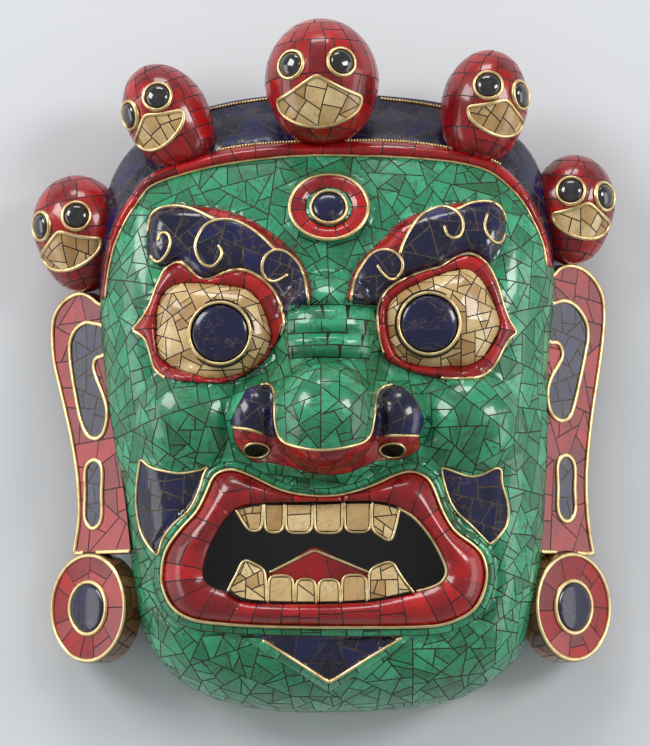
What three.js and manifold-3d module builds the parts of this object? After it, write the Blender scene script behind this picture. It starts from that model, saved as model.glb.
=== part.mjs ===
// Ceremonial mask of a wrathful guardian: a carved wooden shell under stone mosaic, with five skulls,
// two long ears with round ear discs, teeth, a tongue and brass rings.
// Millimetres. The mask lies on its flat back rim: +Z out of the face, +Y to the top of the head.
import * as THREE from 'three';
import { mergeVertices } from 'three/addons/utils/BufferGeometryUtils.js';
import Module from 'manifold-3d';

const wasm = await Module();
wasm.setup();

// Driving dimensions of the shell
const MASK_WIDTH = 283;        // over the outer skulls and the ear discs
const MASK_HEIGHT = 331;       // chin to the top of the middle skull
const FACE_HEIGHT = 74;        // flat of the face over the rim
const SIDE_HEIGHT = 28;        // upright side wall over the rim
const ROLL = 27;               // width over which the face rolls down to the side wall
const SHELL = 9;               // thickness of the carved wood
const BOW = 11;                // how much the face drops near its edge, against its middle
const FOREHEAD_DROP = 10;      // how far the forehead has fallen back at the crown band
const GAP = 0.3;               // clearance between two pieces that touch
const WIRE = 1.7;              // brass wire, across
const WIRE_RISE = 0.8;         // brass wire, proud of the stone

// The carving keeps its proportions: its outlines and centres are drawn for a mask 283 wide and 331 high
const WIDEN = MASK_WIDTH / 283;
const HEIGHTEN = MASK_HEIGHT / 331;
const placed = ([x, y, ...rest]) => [x * WIDEN, y * HEIGHTEN, ...rest];

// Relief of the face
const BAND_RISE = 4.5;
const BROW_RISE = 7.5;
const LID_RISE = 3.2;
const EYEBALL_RISE = 10;
const LIP_RISE = 8;
const LIP_BEAD_RISE = 2.2;
const LIP_BEAD_WIDTH = 4;
const LIP_GROOVE_DEPTH = 1.6;
const BOSS_RISE = 4;
const CHIN_FRAME_RISE = 2.2;
const WRINKLE_DEPTH = 2.8;
const NOSTRIL_DEPTH = 5;
const MUZZLE_RISE = 5;

// Stones and rings set in the face
const IRIS_RADIUS = 13.2;
const IRIS_SEAT = 1.6;         // depth of the flat seat under an iris
const IRIS_RISE = 2.2;
const THIRD_EYE_RADIUS = 18.6;
const THIRD_EYE_STONE_RADIUS = 7.4;
const SKULL_EYE_RADIUS = 5.6;
const SKULL_EYE_RISE = 2.4;
const SKULL_EYE_SEAT = 2.6;

// Ears and ear discs
const EAR_THICKNESS = 7;
const EAR_TURN = 40;           // degrees outward
const DISC_RADIUS = 26.5;
const DISC_THICKNESS = 11;
const DISC_TURN = 42;
const DISC_RING_RADIUS = 13;
const DISC_EDGE_ROUND = 2;
const DISC_SIDES = 22;

// Teeth and tongue
const TOOTH_DEPTH = 8;
const TOOTH_FRONT = FACE_HEIGHT + 6;
const TONGUE_FRONT = TOOTH_FRONT - 8;
const TONGUE_DEPTH = 7;
const TOOTH_EDGE = 1.4;

// Fineness of the faceted surface
const FINE_STEP = 6.5;
const COARSE_STEP = 11;
const CLOSEST_POINTS = 4;

const degrees = (angle) => (angle * Math.PI) / 180;
const clamp = (value, low, high) => Math.min(high, Math.max(low, value));

// A smooth curve through [x, y] points; a point written twice is a sharp corner.
function curve(points, closed = true, perSpan = 4) {
  const last = points.length;
  const at = (i) => (closed ? points[(i + last) % last] : points[clamp(i, 0, last - 1)]);
  const path = [];
  for (let i = 0; i < (closed ? last : last - 1); i++) {
    const [a, b, c, d] = [at(i - 1), at(i), at(i + 1), at(i + 2)];
    if (Math.hypot(c[0] - b[0], c[1] - b[1]) < 1e-6) continue;
    for (let k = 0; k < perSpan; k++) {
      const t = k / perSpan;
      path.push([0, 1].map((n) => 0.5 * (2 * b[n] + (c[n] - a[n]) * t
        + (2 * a[n] - 5 * b[n] + 4 * c[n] - d[n]) * t * t
        + (3 * b[n] - a[n] - 3 * c[n] + d[n]) * t * t * t)));
    }
  }
  if (!closed) path.push(points[last - 1]);
  return path;
}

const drawnCurve = (points, ...options) => curve(points.map(placed), ...options);

// Outline of the wooden shell, clockwise from the top of the head
const OUTLINE = drawnCurve([[0, 134], [28, 132.5], [56, 129], [78, 122], [96, 109], [106, 90], [110, 62],
  [110.5, 34], [108, 6], [106.5, -26], [106, -56], [104, -86], [100.5, -114], [94, -136], [80, -151],
  [60, -161], [34, -165], [0, -166.5], [-32, -165], [-57, -158.5], [-77, -145], [-89, -124], [-93.5, -94],
  [-97, -66], [-101, -42], [-106, -12], [-109, 20], [-110, 56], [-106, 86], [-96, 105], [-78, 119],
  [-56, 127.5], [-28, 132.5]]);

// Red ridge along the top of the forehead: inner edge, then back along the outer edge
const BAND_INNER = [[-105, 31], [-104.5, 38], [-101.5, 53], [-96.5, 65], [-90, 75.5], [-83, 84], [-62, 91],
  [-42, 95], [-13, 98], [19, 98], [44, 97], [64, 95], [78, 91], [87, 84], [94, 76], [100, 65], [104, 55],
  [105, 46]];
const BAND_OUTER = [[108.5, 46], [107.5, 56], [104, 66], [99.5, 76], [93, 85.5], [83, 95], [64, 101.5],
  [35, 105.5], [0, 105.5], [-17, 105], [-37, 103.5], [-52, 101], [-66, 96.5], [-84, 90], [-93, 80],
  [-100, 68], [-104.5, 56], [-107.5, 42], [-108.5, 31]];
const corners = (points) => [points[0], ...points, points.at(-1)];
const BAND = drawnCurve([...corners(BAND_INNER), ...corners(BAND_OUTER)]);

// Brows with their scrolled lobes; the strip above them is part of the same carved ridge
const LEFT_BROW = drawnCurve([[-84.5, 60], [-83.5, 67], [-80, 71.5], [-73, 73], [-66, 73], [-57, 72],
  [-47.5, 70], [-37, 66], [-29, 61], [-18.5, 52.5], [-11, 43], [-7.5, 33.5], [-7, 23], [-7, 23],
  [-20, 18.5], [-22.5, 26.5], [-27, 33], [-34, 38], [-41.5, 40], [-49.5, 38.5], [-55.5, 36], [-60, 37],
  [-65, 42], [-70, 45], [-77, 43], [-82, 46], [-84.5, 52]]);
const RIGHT_BROW = drawnCurve([[10.5, 24], [11, 32.5], [13, 39.5], [18.5, 47.5], [28, 57], [35.5, 64.5],
  [47, 70], [59, 73.5], [72, 75.5], [80, 74.5], [84, 71], [85, 65.5], [84.5, 58], [82.5, 53], [77, 44],
  [77, 44], [74, 46], [69.5, 48.5], [64.5, 48.5], [58, 45.5], [53, 42], [45.5, 40], [34.5, 35], [28, 30],
  [24.5, 23.5], [24.5, 23.5]]);

// Eyes: the outer edge of the lids, and the eyeball
const LEFT_LID = drawnCurve([[-91.5, 13], [-91.5, 13], [-86.5, 18], [-82.5, 25], [-79.5, 33.5], [-76, 41],
  [-70, 45], [-65, 42.5], [-60.5, 37.5], [-55.5, 36], [-49.5, 38.5], [-41.5, 40.5], [-34, 38.5],
  [-27, 33.5], [-22.5, 27], [-20, 19], [-19.5, 13.5], [-21.5, 8], [-24.5, 3.5], [-30, -4], [-36.5, -9],
  [-44, -12], [-53, -13.5], [-63.5, -13], [-74.5, -10.5], [-80, -6], [-82.5, 2], [-85, 9]]);
const RIGHT_LID = drawnCurve([[90, 11.5], [90, 11.5], [86.5, 9.5], [83.5, 5], [81, 0], [77.5, -5.5],
  [71.5, -10], [64, -11], [53.5, -10.5], [42, -8.5], [32, -4.5], [28, -1.5], [25, 7], [24, 15.5],
  [24.5, 23.5], [28, 30], [34.5, 35], [46, 40], [53.5, 42], [58.5, 45.5], [64.5, 48.5], [69.5, 48.5],
  [75, 45], [78.5, 39], [81, 32.5], [83, 25], [86, 17]]);
const LEFT_EYEBALL = drawnCurve([[-79.5, 14], [-79.5, 20.5], [-78, 26.5], [-74.5, 31.5], [-67.5, 34.5],
  [-55.5, 34], [-44, 32.5], [-36, 30.5], [-30.5, 24], [-27, 15], [-25.5, 8.5], [-28, 1], [-33, -5.5],
  [-39.5, -8.5], [-51.5, -11], [-59.5, -10], [-71, -5.5], [-78, 0], [-79.5, 7.5]]);
const RIGHT_EYEBALL = drawnCurve([[28.5, 16], [29, 23], [34.5, 29.5], [43.5, 34.5], [53.5, 38.5],
  [60, 40.5], [67.5, 41], [73.5, 35.5], [77, 29.5], [80, 22], [81.5, 15], [78.5, 7], [73.5, -0.5],
  [66, -4.5], [57, -5.5], [49.5, -5.5], [42, -4.5], [34.5, -1.5], [30, 7]]);
const IRISES = { left: placed([-49.5, 9.5]), right: placed([48, 14]) };
const THIRD_EYE = placed([1.3, 71]);

// Mouth: outer edge of the lips, and the opening between them
const LIPS = drawnCurve([[-52.5, -57], [-48, -54], [-41, -54], [-32, -58], [-21, -63.5], [-10, -66],
  [1.5, -66.5], [12.5, -64.5], [23.5, -60.5], [32.5, -56], [40.5, -54.5], [47.5, -58], [51, -65], [54, -73],
  [59.5, -82], [68.5, -88.5], [73, -94], [74.5, -103], [72, -113], [67, -119.5], [58, -124], [48, -126],
  [26, -126.5], [-2, -126.5], [-30, -126], [-52, -124.5], [-63, -122.5], [-71, -117.5], [-75.5, -109.5],
  [-76.5, -102], [-74.5, -91], [-67, -80.5], [-60, -73], [-55.5, -64]]);
const MOUTH = drawnCurve([[-41.5, -72], [-30, -69.5], [-5.5, -69], [20.5, -68.5], [31.5, -70.5],
  [40.5, -75], [47.5, -82.5], [53, -91.5], [56.5, -100.5], [54, -106], [48.5, -109], [40, -111],
  [19.5, -115], [-7.5, -116], [-35.5, -115], [-45.5, -110.5], [-53.5, -107.5], [-57, -103], [-56, -94],
  [-51.5, -84], [-47, -77]], true, 3);

// Chin: a lapis triangle inside a raised frame
const CHIN_PATCH = [[-29, -132.5], [34.5, -131.5], [1.5, -152]].map(placed);
const CHIN_FRAME = [[-40, -130.5], [43, -129.5], [1.5, -156.5]].map(placed);

// Distance of a point from a closed path, positive inside it
function depthIn(path, x, y) {
  let nearest = Infinity;
  let inside = false;
  for (let i = 0, j = path.length - 1; i < path.length; j = i++) {
    const [ax, ay] = path[j];
    const [bx, by] = path[i];
    const [dx, dy] = [bx - ax, by - ay];
    const t = clamp(((x - ax) * dx + (y - ay) * dy) / (dx * dx + dy * dy), 0, 1);
    nearest = Math.min(nearest, Math.hypot(x - ax - dx * t, y - ay - dy * t));
    if ((ay > y) !== (by > y) && x < ax + ((y - ay) * dx) / dy) inside = !inside;
  }
  return inside ? nearest : -nearest;
}

// Rounded shoulder: 0 at the edge, 1 once the depth has reached the width
const shoulder = (depth, width) => Math.sqrt(1 - (1 - clamp(depth / width, 0, 1)) ** 2);
const hump = (t) => (t > 0 && t < 1 ? Math.sin(Math.PI * t) : 0);
const softMax = (a, b, blend) => {
  const h = clamp(0.5 + (a - b) / (2 * blend), 0, 1);
  return b + (a - b) * h + blend * h * (1 - h);
};

// Rounded masses of the face: centre, its height over the flat of the face, radii, and how softly they
// grow out of it
const MASSES = [
  { at: [-63, -28.5], over: -17, radii: [27, 27, 26], blend: 4 },   // cheeks
  { at: [66, -31], over: -17, radii: [27, 27, 26], blend: 4 },
  { at: [0.5, 6], over: -6, radii: [25, 34, 22], blend: 6 },        // bridge of the nose
  { at: [-33, -30], over: 2, radii: [13.5, 17, 15], blend: 3 },     // wings of the nose
  { at: [33.5, -30], over: 2, radii: [13.5, 17, 15], blend: 3 },
  { at: [-0.5, -30], over: 13, radii: [24.5, 26, 26], blend: 4 },   // tip of the nose
].map(({ at, over, radii, blend }) => ({
  at: [...placed(at), FACE_HEIGHT + over],
  radii: placed(radii),
  blend,
}));
const MASS_SKIRT = 30;         // how steeply a mass drops away beyond its own edge

function massHeight({ at, radii }, x, y) {
  const reach = Math.hypot((x - at[0]) / radii[0], (y - at[1]) / radii[1]);
  const over = Math.max(0, reach - 1);
  return at[2] + radii[2] * Math.sqrt(Math.max(0, 1 - reach * reach)) - MASS_SKIRT * over;
}

// Shell without relief, used for both the outer surface and the hollow
const FOREHEAD = { start: 20 * HEIGHTEN, reach: 55 * HEIGHTEN };
const CHIN = { start: -95 * HEIGHTEN, reach: 60 * HEIGHTEN };
const CHIN_DROP = 9;
const BOW_REACH = 100 * WIDEN;
function shellHeight(x, y, depth) {
  const forehead = Math.max(0, y - FOREHEAD.start) / FOREHEAD.reach;
  const chin = Math.max(0, CHIN.start - y) / CHIN.reach;
  const flat = FACE_HEIGHT - BOW * (x / BOW_REACH) ** 2
    - FOREHEAD_DROP * forehead ** 2 - CHIN_DROP * chin ** 2;
  return SIDE_HEIGHT + (flat - SIDE_HEIGHT) * shoulder(depth, ROLL);
}

const WRINKLES = [22.5, 9, -2.5].map((y) => y * HEIGHTEN);
const WRINKLE_WIDTH = 1.9;
const WRINKLE_REACH = 21;      // half the length of a wrinkle
const NOSTRILS = [[-32, -45], [30.5, -45]].map(placed);
const NOSTRIL_RADII = [4, 2.4];
const EYEBALL_WIDTH = 21;

// Soft swelling over an [x, y] centre, 1 there
const swell = (x, y, [cx, cy], [rx, ry]) => Math.exp(-(((x - cx) / rx) ** 2) - ((y - cy) / ry) ** 2);
const MUZZLE = [[0, -92], [60, 42]].map(placed);

// Height of the carved face over the rim
function faceHeight(x, y, depth = depthIn(OUTLINE, x, y)) {
  let z = shellHeight(x, y, depth);
  const inset = clamp(depth / ROLL, 0, 1);
  z += MUZZLE_RISE * inset * swell(x, y, ...MUZZLE);
  for (const mass of MASSES) z = softMax(z, massHeight(mass, x, y), mass.blend);
  for (const line of WRINKLES) {
    z -= WRINKLE_DEPTH * Math.exp(-(((y - line) / WRINKLE_WIDTH) ** 2) - (x / WRINKLE_REACH) ** 4);
  }
  z += BAND_RISE * shoulder(depthIn(BAND, x, y), 3.8);
  for (const brow of [LEFT_BROW, RIGHT_BROW]) z += BROW_RISE * shoulder(depthIn(brow, x, y), 8);
  for (const [lid, ball] of [[LEFT_LID, LEFT_EYEBALL], [RIGHT_LID, RIGHT_EYEBALL]]) {
    const fromLid = depthIn(lid, x, y);
    const fromBall = depthIn(ball, x, y);
    const across = fromLid / (fromLid - fromBall);
    if (fromBall > 0) z += 0.8 + EYEBALL_RISE * shoulder(fromBall, EYEBALL_WIDTH) ** 1.15;
    else if (fromLid > 0) z += 0.8 + LID_RISE * Math.sin(Math.PI * (0.1 + 0.8 * across));
  }
  const boss = Math.hypot(x - THIRD_EYE[0], (y - THIRD_EYE[1]) / 0.88);
  z += BOSS_RISE * shoulder(THIRD_EYE_RADIUS + WIRE - boss, 3) - 1.6 * hump((boss - 8.5) / 5);
  const fromLips = depthIn(LIPS, x, y);
  const fromMouth = depthIn(MOUTH, x, y);
  if (fromLips > 0) {
    const across = fromMouth < 0 ? fromLips / (fromLips - fromMouth) : 1;
    z += 1.2 + (LIP_RISE - 1.2) * Math.sin(Math.PI * clamp(0.02 + 0.86 * across, 0, 1));
  }
  z += LIP_BEAD_RISE * hump(-fromLips / LIP_BEAD_WIDTH);
  z -= LIP_GROOVE_DEPTH * hump((-fromLips - LIP_BEAD_WIDTH) / 3.5);
  z += CHIN_FRAME_RISE * shoulder(depthIn(CHIN_FRAME, x, y), 2)
    * (1 - shoulder(depthIn(CHIN_PATCH, x, y), 1.5));
  for (const [nx, ny] of NOSTRILS) {
    const off = Math.hypot((x - nx) / NOSTRIL_RADII[0], (y - ny) / NOSTRIL_RADII[1]);
    z -= NOSTRIL_DEPTH * clamp(1.5 - off, 0, 1);
  }
  return z;
}

// The hollow follows the shell one wall thickness in, with a pocket behind the nose and the lips
const NOSE_POCKET = 16;
const BEHIND_NOSE = [[0, -26], [17, 20]].map(placed);
const MOUTH_POCKET = 6;
const BEHIND_MOUTH = [[0, -92], [50, 30]].map(placed);
function hollowHeight(x, y) {
  const depth = Math.max(0, depthIn(OUTLINE, x, y) - SHELL);
  const nose = NOSE_POCKET * swell(x, y, ...BEHIND_NOSE);
  const mouth = MOUTH_POCKET * swell(x, y, ...BEHIND_MOUTH);
  return shellHeight(x, y, depth) - SHELL + nose + mouth;
}

// Delaunay triangles over [x, y] points, each counter-clockwise; a hair of shift keeps no four on a circle
function triangulate(points) {
  const far = 5000;
  const shift = 0.02;
  const all = [...points.map(([x, y], i) => [x + shift * Math.sin(12.9 * i), y + shift * Math.sin(78.2 * i)]),
    [-far, -far], [far, -far], [0, far]];
  const withCircle = (a, b, c) => {
    const [[ax, ay], [bx, by], [cx, cy]] = [all[a], all[b], all[c]];
    const d = 2 * (ax * (by - cy) + bx * (cy - ay) + cx * (ay - by));
    const [sa, sb, sc] = [ax * ax + ay * ay, bx * bx + by * by, cx * cx + cy * cy];
    const x = (sa * (by - cy) + sb * (cy - ay) + sc * (ay - by)) / d;
    const y = (sa * (cx - bx) + sb * (ax - cx) + sc * (bx - ax)) / d;
    return { corners: [a, b, c], x, y, reach: (ax - x) ** 2 + (ay - y) ** 2 };
  };
  let triangles = [withCircle(points.length, points.length + 1, points.length + 2)];
  points.forEach((point, index) => {
    const [x, y] = all[index];
    const hit = triangles.filter((t) => (x - t.x) ** 2 + (y - t.y) ** 2 < t.reach);
    const edges = new Map();
    for (const { corners: c } of hit) {
      for (const [a, b] of [[c[0], c[1]], [c[1], c[2]], [c[2], c[0]]]) {
        if (!edges.delete(`${b} ${a}`)) edges.set(`${a} ${b}`, [a, b]);
      }
    }
    const gone = new Set(hit);
    triangles = triangles.filter((t) => !gone.has(t));
    for (const [a, b] of edges.values()) triangles.push(withCircle(a, b, index));
  });
  return triangles.map((t) => t.corners).filter((c) => Math.max(...c) < points.length);
}

// Points at even steps along a closed path, moved inward by an offset
function ring(path, step, offset = 0) {
  const lengths = path.map(([x, y], i) => {
    const [nx, ny] = path[(i + 1) % path.length];
    return Math.hypot(nx - x, ny - y);
  });
  const total = lengths.reduce((sum, length) => sum + length, 0);
  const count = Math.max(3, Math.round(total / step));
  const turn = Math.sign(path.reduce((sum, [x, y], i) => {
    const [nx, ny] = path[(i + 1) % path.length];
    return sum + x * ny - nx * y;
  }, 0));
  const points = [];
  let span = 0;
  let walked = 0;
  for (let k = 0; k < count; k++) {
    const goal = (total * k) / count;
    while (walked + lengths[span] < goal) walked += lengths[span++];
    const [ax, ay] = path[span];
    const [bx, by] = path[(span + 1) % path.length];
    const t = (goal - walked) / lengths[span];
    const [ux, uy] = [(bx - ax) / lengths[span], (by - ay) / lengths[span]];
    points.push([ax + (bx - ax) * t - uy * offset * turn, ay + (by - ay) * t + ux * offset * turn]);
  }
  return points;
}

// Keeps each point that is clear of all earlier ones
function thin(points, closest) {
  const cells = new Map();
  const kept = [];
  for (const [x, y] of points) {
    const [cx, cy] = [Math.floor(x / closest), Math.floor(y / closest)];
    let clear = true;
    for (let i = cx - 1; i <= cx + 1; i++) {
      for (let j = cy - 1; j <= cy + 1; j++) {
        for (const [px, py] of cells.get(`${i} ${j}`) ?? []) {
          if (Math.hypot(px - x, py - y) < closest) clear = false;
        }
      }
    }
    if (!clear) continue;
    const key = `${cx} ${cy}`;
    cells.set(key, [...(cells.get(key) ?? []), [x, y]]);
    kept.push([x, y]);
  }
  return kept;
}

function grid(step) {
  const points = [];
  const [[left, bottom], [right, top]] = [[-120, -170], [120, 140]].map(placed);
  for (let x = left; x <= right; x += step) {
    for (let y = bottom, row = 0; y <= top; y += step * 0.87, row++) {
      points.push([x + (row % 2) * step * 0.5, y]);
    }
  }
  return points;
}

const outlineRing = ring(OUTLINE, 9);
const innerRing = ring(OUTLINE, 14, SHELL);

// Points that catch the carving: the edges of each form, its shoulders, then an even fill
function facePoints() {
  const circle = (cx, cy, radius, count, squash = 1) => Array.from({ length: count }, (_, i) => {
    const angle = (2 * Math.PI * i) / count;
    return [cx + radius * Math.cos(angle), cy + radius * squash * Math.sin(angle)];
  });
  const forms = [
    ...ring(BAND, 9.5), ...ring(LEFT_BROW, 5), ...ring(RIGHT_BROW, 5),
    ...ring(LEFT_BROW, 7, 3), ...ring(RIGHT_BROW, 7, 3),
    ...ring(LEFT_EYEBALL, 6), ...ring(RIGHT_EYEBALL, 6),
    ...ring(LEFT_EYEBALL, 7, 4), ...ring(RIGHT_EYEBALL, 7, 4),
    ...ring(LEFT_LID, 6), ...ring(RIGHT_LID, 6),
    ...ring(LIPS, 6), ...ring(LIPS, 7, 5), ...ring(LIPS, 8, -3), ...ring(LIPS, 9, -6.5),
    ...ring(MOUTH, 7, -3),
    ...ring(CHIN_PATCH, 6, -0.8), ...ring(CHIN_FRAME, 7, 0),
    ...NOSTRILS.flatMap(([x, y]) => circle(x, y, 5.6, 8, 0.6)), ...NOSTRILS,
    ...circle(...THIRD_EYE, THIRD_EYE_RADIUS + WIRE, 20, 0.88), ...circle(...THIRD_EYE, 11, 12, 0.88),
    ...circle(...THIRD_EYE, 15.5, 16, 0.88), ...circle(...THIRD_EYE, 8, 8, 0.88),
    ...WRINKLES.flatMap((y) => [-16, -8, 0, 8, 16].map((x) => [x, y])),
    ...WRINKLES.flatMap((y) => [-14, -5, 5, 14].map((x) => [x, y + 3])),
  ];
  for (const { at: [x, y], radii: [a, b] } of MASSES) {
    for (const [share, count] of [[0.98, 22], [0.86, 18], [0.6, 12], [0.3, 5]]) {
      forms.push(...circle(x, y, a * share, count, b / a));
    }
  }
  const rolls = [1.2, 4, 9, 16, ROLL].flatMap((depth) => ring(OUTLINE, 10.5, depth));
  const candidates = [...outlineRing, ...forms, ...rolls, ...thin(grid(COARSE_STEP), COARSE_STEP * 0.8)];
  const fill = grid(FINE_STEP).filter(([x, y]) => depthIn(LIPS, x, y) > -14 && depthIn(MOUTH, x, y) < 0);
  return thin([...candidates, ...fill.filter((p, i) => i % 4 === 0)], CLOSEST_POINTS)
    .filter(([x, y], i) => i < outlineRing.length
      || (depthIn(OUTLINE, x, y) > 1 && depthIn(MOUTH, x, y) < 4));
}

// A closed solid from triangles of [x, y, z] corners
function solidFrom(positions) {
  const geometry = new THREE.BufferGeometry();
  geometry.setAttribute('position', new THREE.Float32BufferAttribute(positions.flat(2), 3));
  return toManifold(geometry);
}

function toManifold(geometry) {
  const bare = geometry.index ? geometry.toNonIndexed() : geometry.clone();
  bare.deleteAttribute('normal');
  bare.deleteAttribute('uv');
  const merged = mergeVertices(bare, 1e-4);
  return new wasm.Manifold(new wasm.Mesh({
    numProp: 3,
    vertProperties: new Float32Array(merged.attributes.position.array),
    triVerts: new Uint32Array(merged.index.array),
  }));
}

function toGeometry(manifold) {
  const mesh = manifold.getMesh();
  const geometry = new THREE.BufferGeometry();
  geometry.setAttribute('position', new THREE.BufferAttribute(new Float32Array(mesh.vertProperties), 3));
  geometry.setIndex(new THREE.BufferAttribute(new Uint32Array(mesh.triVerts), 1));
  return geometry;
}

// Largest single body of a cut solid
function mainBody(manifold) {
  const bodies = manifold.decompose();
  return bodies.sort((a, b) => b.volume() - a.volume())[0];
}

// Skin of triangles over points, its edge carried down to the level z = 0
function skin(points, triangles, height, facing) {
  const place = ([x, y]) => [x, y, height(x, y)];
  const faces = [];
  const open = new Map();
  for (const [a, b, c] of triangles) {
    const corner = facing > 0 ? [a, b, c] : [a, c, b];
    faces.push(corner.map((i) => place(points[i])));
    for (const [p, q] of [[corner[0], corner[1]], [corner[1], corner[2]], [corner[2], corner[0]]]) {
      if (!open.delete(`${q} ${p}`)) open.set(`${p} ${q}`, [p, q]);
    }
  }
  const loop = new Map();
  for (const [p, q] of open.values()) {
    const [a, b] = [points[p], points[q]];
    faces.push([place(b), place(a), [...a, 0]], [place(b), [...a, 0], [...b, 0]]);
    loop.set(p, q);
  }
  const edge = [];
  let at = loop.keys().next().value;
  for (let k = 0; k < loop.size; k++) {
    edge.push(points[at]);
    at = loop.get(at);
  }
  return { faces, edge };
}

const insideOutline = (points, path) => triangulate(points).filter((t) => {
  const [x, y] = [0, 1].map((n) => t.reduce((sum, i) => sum + points[i][n], 0) / 3);
  return depthIn(path, x, y) > -0.05;
});

const frontPoints = facePoints();
const frontTriangles = insideOutline(frontPoints, outlineRing);

// The carved shell: outer skin, hollow skin and the flat back rim between them
function shellSolid() {
  const front = skin(frontPoints, frontTriangles, (x, y) => faceHeight(x, y), 1);
  const hollowPoints = thin([...innerRing, ...ring(OUTLINE, 15, SHELL + 5), ...ring(OUTLINE, 16, SHELL + 14),
    ...grid(19)], 8).filter(([x, y], i) => i < innerRing.length || depthIn(innerRing, x, y) > 2);
  const hollow = skin(hollowPoints, insideOutline(hollowPoints, innerRing), hollowHeight, -1);
  const vector = ([x, y]) => new THREE.Vector2(x, y);
  const [outer, inner] = [front.edge.map(vector), hollow.edge.map(vector)];
  const rimPoints = [...front.edge, ...hollow.edge];
  const rim = THREE.ShapeUtils.triangulateShape(outer, [inner]).map((t) => {
    const corner = t.map((i) => [...rimPoints[i], 0]);
    const area = (corner[1][0] - corner[0][0]) * (corner[2][1] - corner[0][1])
      - (corner[2][0] - corner[0][0]) * (corner[1][1] - corner[0][1]);
    return area < 0 ? corner : [corner[0], corner[2], corner[1]];
  });
  return solidFrom([...front.faces, ...hollow.faces, ...rim]);
}

// The same outside, solid and grown by the clearance, to cut whatever sits on the shell
function shellCutter() {
  const grownRing = ring(OUTLINE, 9, -GAP);
  const points = frontPoints.map((p, i) => (i < outlineRing.length ? grownRing[i] : p));
  const heights = new Map(points.map((p, i) => [p.join(), faceHeight(...frontPoints[i]) + GAP * 1.6]));
  const { faces, edge } = skin(points, frontTriangles, (x, y) => heights.get(`${x},${y}`), 1);
  const base = THREE.ShapeUtils.triangulateShape(edge.map(([x, y]) => new THREE.Vector2(x, y)), []);
  const bottom = base.map((t) => {
    const corner = t.map((i) => [...edge[i], 0]);
    const area = (corner[1][0] - corner[0][0]) * (corner[2][1] - corner[0][1])
      - (corner[2][0] - corner[0][0]) * (corner[1][1] - corner[0][1]);
    return area < 0 ? corner : [corner[0], corner[2], corner[1]];
  });
  return solidFrom([...faces, ...bottom]);
}

const shapeOf = (points) => new THREE.Shape(points.map(([x, y]) => new THREE.Vector2(x, y)));

function prism(points, low, high) {
  const geometry = new THREE.ExtrudeGeometry(shapeOf(points), { depth: high - low, bevelEnabled: false });
  return toManifold(geometry.translate(0, 0, low));
}

// Rotation that takes +Z to a direction
const facing = (normal) => new THREE.Matrix4().makeRotationFromQuaternion(
  new THREE.Quaternion().setFromUnitVectors(new THREE.Vector3(0, 0, 1), normal.clone().normalize()));

// Turned pieces around their own +Z axis
function turned(profile, sides) {
  const points = profile.map(([radius, height]) => new THREE.Vector2(radius, height));
  return new THREE.LatheGeometry(points, sides).rotateX(Math.PI / 2);
}

function dome(radius, rise, base, sides) {
  const steps = 2;
  const profile = [[0, base], [radius, base]];
  for (let k = 0; k < steps; k++) {
    const angle = (Math.PI / 2) * (k / steps);
    profile.push([radius * Math.cos(angle), rise * Math.sin(angle)]);
  }
  return turned([...profile, [0, rise]], sides);
}

function wireRing(radius, base, top, sides) {
  const half = WIRE / 2;
  return turned([[radius - half, base], [radius + half, base], [radius + half * 0.6, top],
    [radius - half * 0.6, top], [radius - half, base]], sides);
}

// Surface point and outward normal of the carved face, by small steps
function faceFrame([x, y], reach) {
  const slope = (dx, dy) => (faceHeight(x + dx, y + dy) - faceHeight(x - dx, y - dy)) / (2 * reach);
  const normal = new THREE.Vector3(-slope(reach, 0), -slope(0, reach), 1).normalize();
  return { point: new THREE.Vector3(x, y, faceHeight(x, y)), normal };
}

const material = (color, roughness, metalness = 0) => (
  new THREE.MeshStandardMaterial({ color, roughness, metalness }));
const FINISH = {
  turquoise: () => material(0x2f9c7c, 0.25),
  coral: () => material(0xa81420, 0.22),
  lapis: () => material(0x16163f, 0.2),
  bone: () => material(0xc9a877, 0.35),
  onyx: () => material(0x0c0b0d, 0.1),
  brass: () => material(0xc2993f, 0.35, 1),
};

const mask = new THREE.Group();
function add(name, geometry, finish) {
  const mesh = new THREE.Mesh(geometry, FINISH[finish]());
  mesh.name = name;
  mask.add(mesh);
}

let body = shellSolid();
const cutter = shellCutter();
body = body.subtract(prism(MOUTH, SIDE_HEIGHT, FACE_HEIGHT * 2));

// An inlaid stone in a brass ring, on a flat seat sunk into what carries it
function inlay(name, host, { point, normal }, stone) {
  const { radius, rise, seat, sides, finish, ringTop = WIRE_RISE } = stone;
  const place = new THREE.Matrix4().makeTranslation(...point).multiply(facing(normal));
  const outer = radius + GAP + WIRE;
  const pocket = turned([[0, -seat], [outer + GAP, -seat], [outer + GAP, 40], [0, 40]], sides);
  const seated = -seat + GAP;
  add(name, dome(radius, rise, seated, sides).applyMatrix4(place), finish);
  add(`${name}_ring`, wireRing(radius + GAP + WIRE / 2, seated, ringTop, sides).applyMatrix4(place), 'brass');
  return host.subtract(toManifold(pocket.applyMatrix4(place)));
}

for (const [side, at] of Object.entries(IRISES)) {
  const { point, normal } = faceFrame(at, 8);
  const seatAt = point.clone().addScaledVector(normal, -1.6);
  body = inlay(`iris_${side}`, body, { point: seatAt, normal },
    { radius: IRIS_RADIUS, rise: IRIS_RISE, seat: IRIS_SEAT, sides: 14, finish: 'lapis', ringTop: 1.4 });
}
{
  const { point, normal } = faceFrame(THIRD_EYE, 16);
  body = inlay('third_eye', body, { point: point.clone().addScaledVector(normal, -0.6), normal },
    { radius: THIRD_EYE_STONE_RADIUS, rise: 1.4, seat: 1.2, sides: 12, finish: 'lapis' });
}
add('mask_body', toGeometry(mainBody(body)), 'turquoise');

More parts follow.
